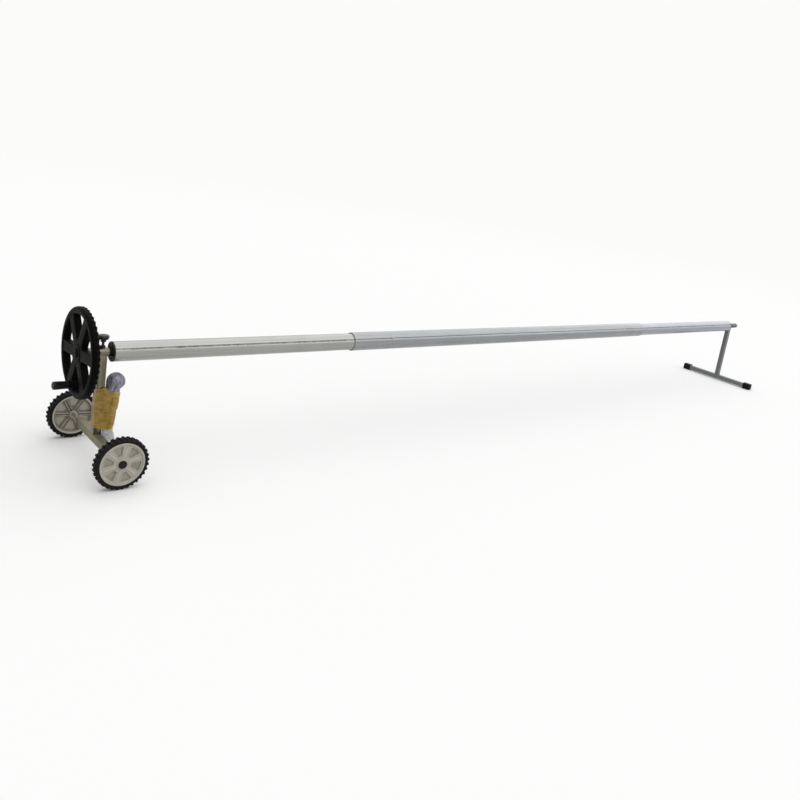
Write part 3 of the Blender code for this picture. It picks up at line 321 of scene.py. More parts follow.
@dataclass(frozen=True)
class ShadeAndDirtFinish(Finish):
    """Painted shade and dirt where its mesh is marked, and painted highlight below zero."""

    shade_and_dirt: str = "#000000"
    shade_and_dirt_share: float = 0.55
    # The mesh attribute with the amount of painted shade and dirt; below zero it is painted
    # highlight
    marker: ClassVar[str] = "recess"

    def dress(self, tree: Tree, shader: Node, place: Socket) -> None:
        """Give the shader the finish's look, with painted shade and dirt in its low places.

        Args:
            tree: The material's tree.
            shader: The shader that gets them.
            place: The object's coordinates.
        """
        super().dress(tree, shader, place)
        low = add_node(tree, "ShaderNodeAttribute", attribute_name=self.marker)
        # Below zero the mark is a painted highlight, in the edge colour when the finish has one
        painted_highlight = add_node(tree, "ShaderNodeMapRange", {
            "Value": low.outputs["Fac"], "From Min": -1.0, "From Max": 0.0,
            "To Min": 0.7, "To Max": 0.0})
        self.lay_over(tree, shader, painted_highlight.outputs["Result"], linear(self.edge or self.colour))
        # Above zero it is painted shade and dirt, patchy with noise
        cloud = add_node(tree, "ShaderNodeTexNoise", {"Vector": place, "Scale": 60.0,
                                                      "Detail": 4.0})
        share = add_node(tree, "ShaderNodeMapRange", {
            "Value": cloud.outputs["Fac"], "From Min": 0.3, "From Max": 0.7,
            "To Min": 0.4 * self.shade_and_dirt_share, "To Max": self.shade_and_dirt_share})
        amount = add_node(tree, "ShaderNodeMath", {
            0: low.outputs["Fac"], 1: share.outputs["Result"]}, operation="MULTIPLY",
            use_clamp=True)
        self.lay_over(tree, shader, amount.outputs[0], linear(self.shade_and_dirt))


@dataclass(frozen=True)
class CreasedSheet(Finish):
    """Thin plastic pulled round a shape: long soft creases with painted highlights along them."""

    crease_mm: float = 12.0
    crease_height_mm: float = 1.0
    alpha: float = 1.0
    coat: float = 0.3
    fold_highlight_share: float = 0.35
    fold_highlight_width: float = 0.022
    marker: ClassVar[str] = "sheet"

    def dress(self, tree: Tree, shader: Node, place: Socket) -> None:
        """Give the shader the sheet's look, with its creases and the painted highlights along them.

        Args:
            tree: The material's tree.
            shader: The shader that gets them.
            place: The object's coordinates.
        """
        super().dress(tree, shader, place)
        own = add_node(tree, "ShaderNodeAttribute", attribute_name=self.marker)
        warp = add_node(tree, "ShaderNodeTexNoise", {
            "Vector": own.outputs["Vector"], "Scale": 1 / (self.crease_mm * MM),
            "Detail": 2.5, "Distortion": 0.5})
        crease = add_node(tree, "ShaderNodeMath", {0: warp.outputs["Fac"], 1: 0.5},
                          operation="SUBTRACT")
        sharp = add_node(tree, "ShaderNodeMath", {0: crease.outputs[0]}, operation="ABSOLUTE")
        # Pale lines in the edge colour along the creases are painted highlights
        line = add_node(tree, "ShaderNodeMapRange", {
            "Value": sharp.outputs[0], "From Max": self.fold_highlight_width,
            "To Min": self.fold_highlight_share, "To Max": 0.0})
        self.lay_over(tree, shader, line.outputs["Result"], linear(self.edge))
        fine = shader.inputs["Normal"].links[0].from_socket
        bump = add_node(tree, "ShaderNodeBump", {
            "Height": sharp.outputs[0], "Strength": 0.9, "Normal": fine,
            "Distance": self.crease_height_mm * MM * 4})
        tree.links.new(bump.outputs["Normal"], shader.inputs["Normal"])
        shader.inputs["Alpha"].default_value = self.alpha
        shader.inputs["Coat Weight"].default_value = self.coat
        shader.inputs["Coat Roughness"].default_value = 0.15


# Clear anodised extrusion: a satin metal with die lines along it and painted shade in its grooves
ANODISED = ShadeAndDirtFinish("clear_anodised_extrusion", Slot.TUBE, "#A1A19E", "#8C8C89", 0.28, 1.0,
                          tint_share=0.30, patch_mm=120, grain_mm=1.1, grain_height_mm=0.03,
                          swing=0.06, along=Axis.X, streak=0.6, shade_and_dirt="#3A3A38",
                          shade_and_dirt_share=0.9)
# The wide section is of a greyer batch than the left one, and the far section of a cooler one
GREY_ANODISED = replace(ANODISED, name="grey_anodised_extrusion", colour="#97999B",
                        tint="#808284")
COOL_ANODISED = replace(ANODISED, name="cool_anodised_extrusion", colour="#9CA0A5",
                        tint="#898D92")
# Drawn stainless tube: bright, warm in reflection, with fine lines along the tube
POLISHED_POST = WeldedSteel("drawn_stainless_post", Slot.STAINLESS, "#737160", "#5A5746", 0.20,
                            1.0, patch_mm=45, grain_mm=0.8, grain_height_mm=0.02, along=Axis.Z,
                            streak=0.9)
POLISHED_BAR = replace(POLISHED_POST, name="drawn_stainless_crossbar", colour="#938C75",
                       tint="#6A634D", roughness=0.46, metallic=0.6, along=Axis.Y)
AXLE_BAR = Finish("brushed_stainless_axle", Slot.STAINLESS, "#A8A396", "#8F897B", 0.50, 0.7,
                  patch_mm=20, grain_mm=0.6, grain_height_mm=0.02)
POLISHED_ROUND = Finish("turned_stainless_round", Slot.STAINLESS, "#706C61", "#59554A", 0.20, 1.0,
                        patch_mm=30, grain_mm=0.6, grain_height_mm=0.015)
# Satin grey stand: a thin grey coat, paler where its edges are rubbed
GREY_POST = Finish("satin_grey_coated_tube", Slot.GREY_STEEL, "#5C5F61", "#494C4E", 0.34,
                   patch_mm=50, grain_mm=0.9, grain_height_mm=0.03, edge="#A0A3A6",
                   specular=0.2)
# Bright zinc plate: pale, a little blotchy
ZINC_PLATE = Finish("bright_zinc_plate", Slot.ZINC, "#A3A4A0", "#8A8C88", 0.30, 1.0,
                    tint_share=0.6, patch_mm=4, grain_mm=0.5, grain_height_mm=0.01)
# Black oxide: oily dark steel that shines on its edges
BLACK_OXIDE = Finish("black_oxide_steel", Slot.BLACK_STEEL, "#141413", "#1E1D1B", 0.34, 0.6,
                     patch_mm=8, grain_mm=0.5, grain_height_mm=0.01, edge="#45433F",
                     specular=0.35)
# Moulded polypropylene: near black, with a spark-eroded grain and paler rubbed edges
MOULDED_BLACK = Finish("grained_black_polypropylene", Slot.MOULDING, "#0B0C0A", "#121310", 0.46,
                       patch_mm=40, grain_mm=0.9, grain_height_mm=0.06, edge="#1C1D19",
                       specular=0.02)
SMOOTH_BLACK = Finish("smooth_black_plastic", Slot.MOULDING, "#11120F", "#1A1B18", 0.30,
                      patch_mm=25, grain_mm=0.9, grain_height_mm=0.015, edge="#282924",
                      specular=0.2)
# Polished phenolic of the knob: deep black with small bright lights
POLISHED_KNOB = replace(SMOOTH_BLACK, name="polished_phenolic", colour="#0C0D0B", tint="#141512",
                        roughness=0.26, grain_height_mm=0.01, edge="#2C2D28", specular=0.35)
# Glass-filled nylon: dull dark grey-black
NYLON = Finish("glass_filled_nylon", Slot.NYLON, "#161614", "#20201E", 0.52,
               patch_mm=12, grain_mm=0.7, grain_height_mm=0.03, edge="#2D2D2A",
               specular=0.3)
# Guide nylon: the same nylon, coloured pale grey as painted light on the bushes' faces, which the
# lamp leaves in shade
PAINTED_LIGHT_NYLON = replace(NYLON, name="painted_light_guide_nylon", colour="#A6A6A2", tint="#8E8E8A",
                     roughness=0.45, edge="#B0B0AC", specular=0.5)
# Warm grey polypropylene wheel: satin, with cloudy flow marks, and painted shade and dirt in its
# low places
# Its ridges and the plateaus behind its pockets get painted highlights
WHEEL_GREY = ShadeAndDirtFinish("warm_grey_polypropylene", Slot.WHEEL, "#BAB4A7", "#A49E90", 0.40,
                            tint_share=0.55, patch_mm=34, grain_mm=0.8, grain_height_mm=0.03,
                            edge="#D6D0C4", shade_and_dirt="#5C564A", shade_and_dirt_share=0.55)
# Moulded tyre rubber: matt black with grey bloom on its blocks
TYRE_BLACK = Finish("moulded_tyre_rubber", Slot.TYRE, "#121211", "#201F1D", 0.68,
                    tint_share=0.6, patch_mm=16, grain_mm=0.8, grain_height_mm=0.08,
                    edge="#2A2926", specular=0.15)
CAP_RUBBER = Finish("moulded_cap_rubber", Slot.RUBBER, "#0D0F12", "#15181B", 0.55,
                    patch_mm=16, grain_mm=0.8, grain_height_mm=0.05, edge="#25292E",
                    specular=0.12)
# Buff packing tape: brown film with a gloss and long slanting creases, with painted highlights
# along them
BUFF_TAPE = CreasedSheet("buff_packing_tape", Slot.TAPE, "#B28D2B", "#70500F", 0.38,
                         tint_share=0.8, patch_mm=24, grain_mm=1.2, grain_height_mm=0.05,
                         edge="#CDB762", crease_mm=13, crease_height_mm=1.2, coat=0.15,
                         fold_highlight_share=0.3, fold_highlight_width=0.03)
# Grey-violet polythene over the rolled kit: pleats run up it, with painted highlights along them
VIOLET_FILM = CreasedSheet("grey_violet_polythene", Slot.BUNDLE, "#6E6C7C", "#45434E", 0.24,
                           tint_share=0.9, patch_mm=22, grain_mm=1.5, grain_height_mm=0.04,
                           edge="#C9C9E2", crease_mm=9, crease_height_mm=0.8, coat=0.7,
                           fold_highlight_share=0.6, fold_highlight_width=0.035)
# Clear stretch film: see-through, with white painted highlights along its folds where it bunches
CLEAR_FILM = CreasedSheet("clear_stretch_film", Slot.FILM, "#DADADD", "#9A9AA2", 0.20,
                          tint_share=0.8, patch_mm=12, grain_mm=1.5, grain_height_mm=0.05,
                          edge="#FBFBFD", crease_mm=7, crease_height_mm=0.9, coat=0.5,
                          alpha=0.78, fold_highlight_share=0.9, fold_highlight_width=0.05)


def smoothstep(low: float, high: float, value: float) -> float:
    """Return 0 below low, 1 above high, and a smooth share between them."""
    share = min(1.0, max(0.0, (value - low) / (high - low)))
    return share * share * (3 - 2 * share)


def rounded(points: Outline, radius: float, steps: int = 3, closed: bool = True) -> Outline:
    """Round the corners of an outline.

    Args:
        points: The outline's corners.
        radius: How far each corner's rounding reaches along its sides.
        steps: The number of segments in each corner.
        closed: Whether the last point joins the first.

    Returns:
        The outline with its corners rounded.
    """
    made: Outline = []
    count = len(points)
    for index, here in enumerate(points):
        if not closed and index in (0, count - 1):
            made.append(tuple(here))
            continue
        corner = Vector(here)
        before = Vector(points[index - 1]) - corner
        after = Vector(points[(index + 1) % count]) - corner
        start = corner + before.normalized() * min(radius, 0.45 * before.length)
        end = corner + after.normalized() * min(radius, 0.45 * after.length)
        for step in range(steps + 1):
            share = step / steps
            point = (start.lerp(corner, share)).lerp(corner.lerp(end, share), share)
            made.append((point.x, point.y))
    return made


def arc(radius: float, angles: Sequence[float]) -> Outline:
    """Return points at the given angles of a circle."""
    return [(radius * math.cos(angle), radius * math.sin(angle)) for angle in angles]


def rounded_square(side: float, corner: float) -> Outline:
    """Return a square outline with round corners."""
    half = 0.5 * side
    return rounded([(half, half), (-half, half), (-half, -half), (half, -half)], corner, 6)


def grid(rows: Sequence[Sequence[Vector]], close_rows: bool = False, close_columns: bool = True,
         sector: bool = False) -> Shape:
    """Skin rows of points.

    Args:
        rows: Rows with equal numbers of points.
        close_rows: Whether the last row joins the first.
        close_columns: Whether each row is a ring. Open ends of a stack of rings are then capped.
        sector: Whether it stays open, with its faces as they are, to be welded to its copies.

    Returns:
        The skin, with its faces turned outwards unless it is a sector.
    """
    shape = bmesh.new()
    points = [[shape.verts.new(point) for point in row] for row in rows]
    count = len(rows[0])
    for index in range(len(rows) if close_rows else len(rows) - 1):
        here, after = points[index], points[(index + 1) % len(rows)]
        for side in range(count if close_columns else count - 1):
            other = (side + 1) % count
            shape.faces.new((here[side], here[other], after[other], after[side]))
    if close_columns and not close_rows and not sector:
        shape.faces.new(points[0])
        shape.faces.new(list(reversed(points[-1])))
    bmesh.ops.remove_doubles(shape, verts=shape.verts, dist=1e-7)
    if not sector:
        bmesh.ops.recalc_face_normals(shape, faces=shape.faces)
    return shape


def turned(profile: Outline, axis: Axis, centre: Vector, steps: int = 64,
           solid: bool = False) -> Shape:
    """Turn a profile of (along, radius) points about an axis.

    Args:
        profile: The section's points.
        axis: The axis that the piece is turned about.
        centre: A point on that axis.
        steps: The number of faces round the piece.
        solid: Whether the profile starts and ends on the axis.

    Returns:
        The closed piece.
    """
    rows = []
    for step in range(steps):
        angle = math.tau * step / steps
        rows.append([centre + axis.point(along, radius, angle) for along, radius in profile])
    return grid(rows, close_rows=True, close_columns=not solid)


def pipe(outer: Outline, inner: Outline, axis: Axis, start: float, end: float,
         centre: Vector) -> Shape:
    """Extrude a hollow section along an axis."""
    skin = ((outer, start), (outer, end), (inner, end), (inner, start))
    return grid([axis.ring(outline, along, centre) for outline, along in skin], close_rows=True)


def prism(outline: Outline, axis: Axis, start: float, end: float, centre: Vector) -> Shape:
    """Extrude a solid outline along an axis."""
    return grid([axis.ring(outline, along, centre) for along in (start, end)])


def round_bar(start: float, end: float, radius: float, ease: float, axis: Axis, centre: Vector,
              steps: int) -> Shape:
    """Return a round bar along an axis, with eased ends."""
    profile = [(start, 0), (start, radius), (end, radius), (end, 0)]
    return turned(rounded(profile, ease, closed=False), axis, centre, steps, solid=True)


def round_sleeve(start: float, end: float, inner: float, outer: float, ease: float,
                 centre: Vector, steps: int) -> Shape:
    """Return a round sleeve along X, with eased rims."""
    profile = [(start, inner), (start, outer), (end, outer), (end, inner)]
    return turned(rounded(profile, ease), Axis.X, centre, steps)


def merged(shapes: Sequence[Shape]) -> Shape:
    """Put several shapes into one.

    Args:
        shapes: The shapes, which are used up.

    Returns:
        The one shape.
    """
    whole = bmesh.new()
    holder = bpy.data.meshes.new("holder")
    for shape in shapes:
        shape.to_mesh(holder)
        shape.free()
        whole.from_mesh(holder)
    bpy.data.meshes.remove(holder)
    return whole


def box(size: Sequence[float], place: Matrix, ease: float = 0.0) -> Shape:
    """Return a box with eased edges.

    Args:
        size: Its three sides.
        place: The matrix that places its middle.
        ease: The width of its edges' rounding.

    Returns:
        The box.
    """
    shape = bmesh.new()
    bmesh.ops.create_cube(shape, size=1.0, matrix=Matrix.Diagonal((*size, 1.0)))
    if ease:
        bmesh.ops.bevel(shape, geom=shape.edges[:], offset=ease, segments=2, affect="EDGES",
                        profile=0.5)
    bmesh.ops.transform(shape, matrix=place, verts=shape.verts)
    return shape


class Pattern:
    """A Geometry Nodes tree that repeats a shape or follows a path."""

    name: ClassVar[str] = "pattern"
    inputs: ClassVar[tuple[tuple[str, str], ...]] = ()

    def tree(self) -> Tree:
        """Make this pattern's tree on its first use.

        Returns:
            The tree.
        """
        made = bpy.data.node_groups.get(self.name)
        if made is None:
            made = bpy.data.node_groups.new(self.name, "GeometryNodeTree")
            made.interface.new_socket("Geometry", in_out="INPUT",
                                      socket_type="NodeSocketGeometry")
            for name, kind in (*self.inputs, ("Material", "NodeSocketMaterial")):
                made.interface.new_socket(name, in_out="INPUT", socket_type=kind)
            made.interface.new_socket("Geometry", in_out="OUTPUT",
                                      socket_type="NodeSocketGeometry")
            given = add_node(made, "NodeGroupInput")
            placed = self.lay(made, given)
            real = add_node(made, "GeometryNodeRealizeInstances", {"Geometry": placed})
            welded = add_node(made, "GeometryNodeMergeByDistance", {
                "Geometry": real.outputs[0], "Distance": 2e-6})
            dressed = add_node(made, "GeometryNodeSetMaterial", {
                "Geometry": welded.outputs[0], "Material": given.outputs["Material"]})
            add_node(made, "NodeGroupOutput", {0: dressed.outputs[0]})
        return made

    def lay(self, tree: Tree, given: Node) -> Socket:
        """Add the nodes that place the copies, and return their geometry."""
        raise NotImplementedError

    def make(self, shape: Shape, finish: Finish, **values: object) -> Shape:
        """Run the tree on a shape.

        Args:
            shape: What is repeated, or the path that is followed.
            finish: The finish that the tree sets.
            **values: The tree's inputs by name.

        Returns:
            The result as plain mesh.
        """
        mesh = bpy.data.meshes.new("pattern_source")
        shape.to_mesh(mesh)
        shape.free()
        holder = bpy.data.objects.new("pattern_source", mesh)
        bpy.context.scene.collection.objects.link(holder)
        step = holder.modifiers.new("pattern", "NODES")
        step.node_group = self.tree()
        wanted = {**values, "Material": finish.material()}
        for item in step.node_group.interface.items_tree:
            if item.item_type == "SOCKET" and item.in_out == "INPUT" and item.name in wanted:
                step[item.identifier] = wanted[item.name]
        graph = bpy.context.evaluated_depsgraph_get()
        result = bpy.data.meshes.new_from_object(holder.evaluated_get(graph))
        holder.modifiers.clear()
        bpy.data.objects.remove(holder)
        bpy.data.meshes.remove(mesh)
        whole = bmesh.new()
        whole.from_mesh(result)
        bpy.data.meshes.remove(result)
        return whole


class RoundAxis(Pattern):
    """Copies of a sector or a part round an axis through the origin, with their seams welded."""

    name = "copies_round_an_axis"
    inputs = (("Count", "NodeSocketInt"), ("Axis", "NodeSocketVector"))

    def lay(self, tree: Tree, given: Node) -> Socket:
        """Add the nodes that place the copies.

        Args:
            tree: The pattern's tree.
            given: The node that gives its inputs.

        Returns:
            The copies.
        """
        points = add_node(tree, "GeometryNodePoints", {"Count": given.outputs["Count"]})
        share = add_node(tree, "ShaderNodeMath", {
            0: add_node(tree, "GeometryNodeInputIndex").outputs[0], 1: given.outputs["Count"]},
            operation="DIVIDE")
        angle = add_node(tree, "ShaderNodeMath", {0: share.outputs[0], 1: math.tau},
                         operation="MULTIPLY")
        turn = add_node(tree, "FunctionNodeAxisAngleToRotation", {
            "Axis": given.outputs["Axis"], "Angle": angle.outputs[0]})
        return add_node(tree, "GeometryNodeInstanceOnPoints", {
            "Points": points.outputs[0], "Instance": given.outputs["Geometry"],
            "Rotation": turn.outputs[0]}).outputs[0]


class WeldBead(Pattern):
    """Overlapping beads along a path, as a hand weld leaves them."""

    name = "weld_beads_along_a_path"
    inputs = (("Spacing", "NodeSocketFloat"), ("Bead Radius", "NodeSocketFloat"))

    def lay(self, tree: Tree, given: Node) -> Socket:
        """Add the nodes that place the beads.

        Args:
            tree: The pattern's tree.
            given: The node that gives its inputs.

        Returns:
            The beads.
        """
        curve = add_node(tree, "GeometryNodeMeshToCurve", {0: given.outputs["Geometry"]})
        spaced = add_node(tree, "GeometryNodeResampleCurve", {
            "Curve": curve.outputs[0], "Length": given.outputs["Spacing"]}, mode="LENGTH")
        bead = add_node(tree, "GeometryNodeMeshIcoSphere", {
            "Radius": given.outputs["Bead Radius"], "Subdivisions": 2})
        way = add_node(tree, "GeometryNodeInputTangent")
        turn = add_node(tree, "FunctionNodeAlignRotationToVector", {
            "Vector": way.outputs[0]}, axis="X")
        return add_node(tree, "GeometryNodeInstanceOnPoints", {
            "Points": spaced.outputs[0], "Instance": bead.outputs[0],
            "Rotation": turn.outputs[0], "Scale": (0.75, 1.0, 1.0)}).outputs[0]


class ScrewThread(Pattern):
    """A thread's ridge along a helix that rises in Z from the shape's own place."""

    name = "thread_ridge_on_a_helix"
    inputs = (("Turns", "NodeSocketFloat"), ("Radius", "NodeSocketFloat"),
              ("Height", "NodeSocketFloat"), ("Ridge", "NodeSocketFloat"))

    def lay(self, tree: Tree, given: Node) -> Socket:
        """Add the nodes that sweep the ridge.

        Args:
            tree: The pattern's tree.
            given: The node that gives its inputs.

        Returns:
            The ridge.
        """
        helix = add_node(tree, "GeometryNodeCurveSpiral", {
            "Resolution": 20, "Rotations": given.outputs["Turns"],
            "Start Radius": given.outputs["Radius"], "End Radius": given.outputs["Radius"],
            "Height": given.outputs["Height"]})
        section = add_node(tree, "GeometryNodeCurvePrimitiveCircle", {
            "Resolution": 4, "Radius": given.outputs["Ridge"]})
        return add_node(tree, "GeometryNodeCurveToMesh", {
            "Curve": helix.outputs[0], "Profile Curve": section.outputs[0],
            "Fill Caps": True}).outputs[0]


ROUND_AXIS = RoundAxis()
WELD_BEAD = WeldBead()
SCREW_THREAD = ScrewThread()


def around(shape: Shape, count: int, axis: Axis, centre: Vector, finish: Finish) -> Shape:
    """Repeat a shape round an axis through the origin, then move the ring to its centre.

    Args:
        shape: The shape, which is used up.
        count: The number of copies.
        axis: The axis.
        centre: The ring's centre.
        finish: The shape's finish.

    Returns:
        The ring.
    """
    whole = ROUND_AXIS.make(shape, finish, Count=count, Axis=tuple(axis.value[0]))
    bmesh.ops.recalc_face_normals(whole, faces=whole.faces)
    bmesh.ops.translate(whole, vec=centre, verts=whole.verts)
    return whole


def weld(path: Sequence[Vector], finish: Finish, radius: float = 1.5 * MM,
         closed: bool = True) -> Shape:
    """Lay a weld along a path.

    Args:
        path: The path's points.
        finish: The weld's finish.
        radius: The radius of its beads.
        closed: Whether the last point joins the first.

    Returns:
        The weld.
    """
    shape = bmesh.new()
    points = [shape.verts.new(point) for point in path]
    for here, after in zip(points, points[1:]):
        shape.edges.new((here, after))
    if closed:
        shape.edges.new((points[-1], points[0]))
    return WELD_BEAD.make(shape, finish, **{"Spacing": 1.2 * radius, "Bead Radius": radius})


@dataclass
class Bench:
    """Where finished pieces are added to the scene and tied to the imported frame."""

    origin: Vector
    frame: dict
    count: int = 0

    def add(self, name: str, shape: Shape, finish: Finish, body: str, node: str,
            sharp: float = 32.0) -> bpy.types.Object:
        """Add one piece.

        Args:
            name: The piece's name.
            shape: Its mesh in the reel's frame.
            finish: Its finish.
            body: The body that it moves with.
            node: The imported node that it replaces.
            sharp: The angle in degrees from which an edge stays sharp.

        Returns:
            The piece.
        """
        bmesh.ops.translate(shape, vec=self.origin, verts=shape.verts)
        mesh = bpy.data.meshes.new(name)
        shape.to_mesh(mesh)
        shape.free()
        mesh.materials.clear()
        mesh.materials.append(finish.material())
        mesh.shade_smooth()
        mesh.set_sharp_from_angle(angle=math.radians(sharp))
        made = bpy.data.objects.new(name, mesh)
        bpy.context.scene.collection.objects.link(made)
        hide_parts(node)
        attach(made, body)
        self.count += 1
        LOG.info("%s: %d faces on %s", name, len(mesh.polygons), body)
        return made

    def dressed(self, node: str, finish: Finish, body: str,
                ease: float = 0.3 * MM) -> bpy.types.Object:
        """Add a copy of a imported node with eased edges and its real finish.

        Args:
            node: The node's name.
            finish: The copy's finish.
            body: The body that it moves with.
            ease: The width of the bevel on its edges.

        Returns:
            The copy.
        """
        shape = bmesh.new()
        shape.from_mesh(self.frame["nodes"][node].data)
        bmesh.ops.remove_doubles(shape, verts=shape.verts, dist=2e-6)
        bmesh.ops.dissolve_limit(shape, angle_limit=math.radians(0.8), verts=shape.verts,
                                 edges=shape.edges)
        bmesh.ops.translate(shape, vec=-self.origin, verts=shape.verts)
        made = self.add(f"{node}_finished", shape, finish, body, node, sharp=30)
        edges = made.modifiers.new("eased_edges", "BEVEL")
        edges.width = ease
        edges.segments = 2
        edges.limit_method = "ANGLE"
        edges.angle_limit = math.radians(35)
        edges.harden_normals = True
        return made


def mark(piece: bpy.types.Object, depth: Callable[[Vector], float]) -> None:
    """Mark a piece's painted shade and dirt, and its painted highlights, for its finish.

    Args:
        piece: The piece.
        depth: Tells how much painted shade and dirt a spot on the mesh holds; below zero it is
            painted highlight.
    """
    layer = piece.data.attributes.new(ShadeAndDirtFinish.marker, "FLOAT", "POINT")
    for index, vertex in enumerate(piece.data.vertices):
        layer.data[index].value = depth(vertex.co)


def lay_out(piece: bpy.types.Object, place: Callable[[int, Vector], Vector]) -> None:
    """Give a sheet its own coordinates, which are drawn out along its folds.

    Args:
        piece: The sheet.
        place: Tells the coordinates of a vertex from its number and its spot.
    """
    layer = piece.data.attributes.new(CreasedSheet.marker, "FLOAT_VECTOR", "POINT")
    for index, vertex in enumerate(piece.data.vertices):
        layer.data[index].vector = place(index, vertex.co)


@dataclass
class KeyedTube:
    """One extruded roller section with three key grooves."""

    radius: float
    wall: float
    groove_depth: float
    opening: float
    floor: float
    flank: float
    angle: float = math.radians(152)
    grooves: int = 3
    steps: int = 34

    def outline(self, inset: float = 0.0, flank: float = 0.0) -> Outline:
        """Return the section's outline, or its bore where an inset is given.

        Args:
            inset: How far the outline lies inside the tube's skin.
            flank: The wall beside each groove.

        Returns:
            The outline's points.
        """
        radius = self.radius - inset
        opening = self.opening + 2 * flank
        floor = self.floor + 2 * flank
        half = math.asin(0.5 * opening / radius)
        pitch = math.tau / self.grooves
        points: Outline = []
        for index in range(self.grooves):
            groove = self.angle + index * pitch
            points += arc(radius, [groove + half + (pitch - 2 * half) * step / self.steps
                                   for step in range(self.steps + 1)])
            ahead = groove + pitch
            down = radius - self.groove_depth
            for side in (-0.5, 0.5):
                across = side * floor
                points.append((down * math.cos(ahead) - across * math.sin(ahead),
                               down * math.sin(ahead) + across * math.cos(ahead)))
        return points

    def shape(self, start: float, end: float, centre: Vector) -> Shape:
        """Return the tube between two places."""
        bore = self.outline(self.wall, self.flank)
        return pipe(self.outline(), bore, Axis.X, start, end, centre)


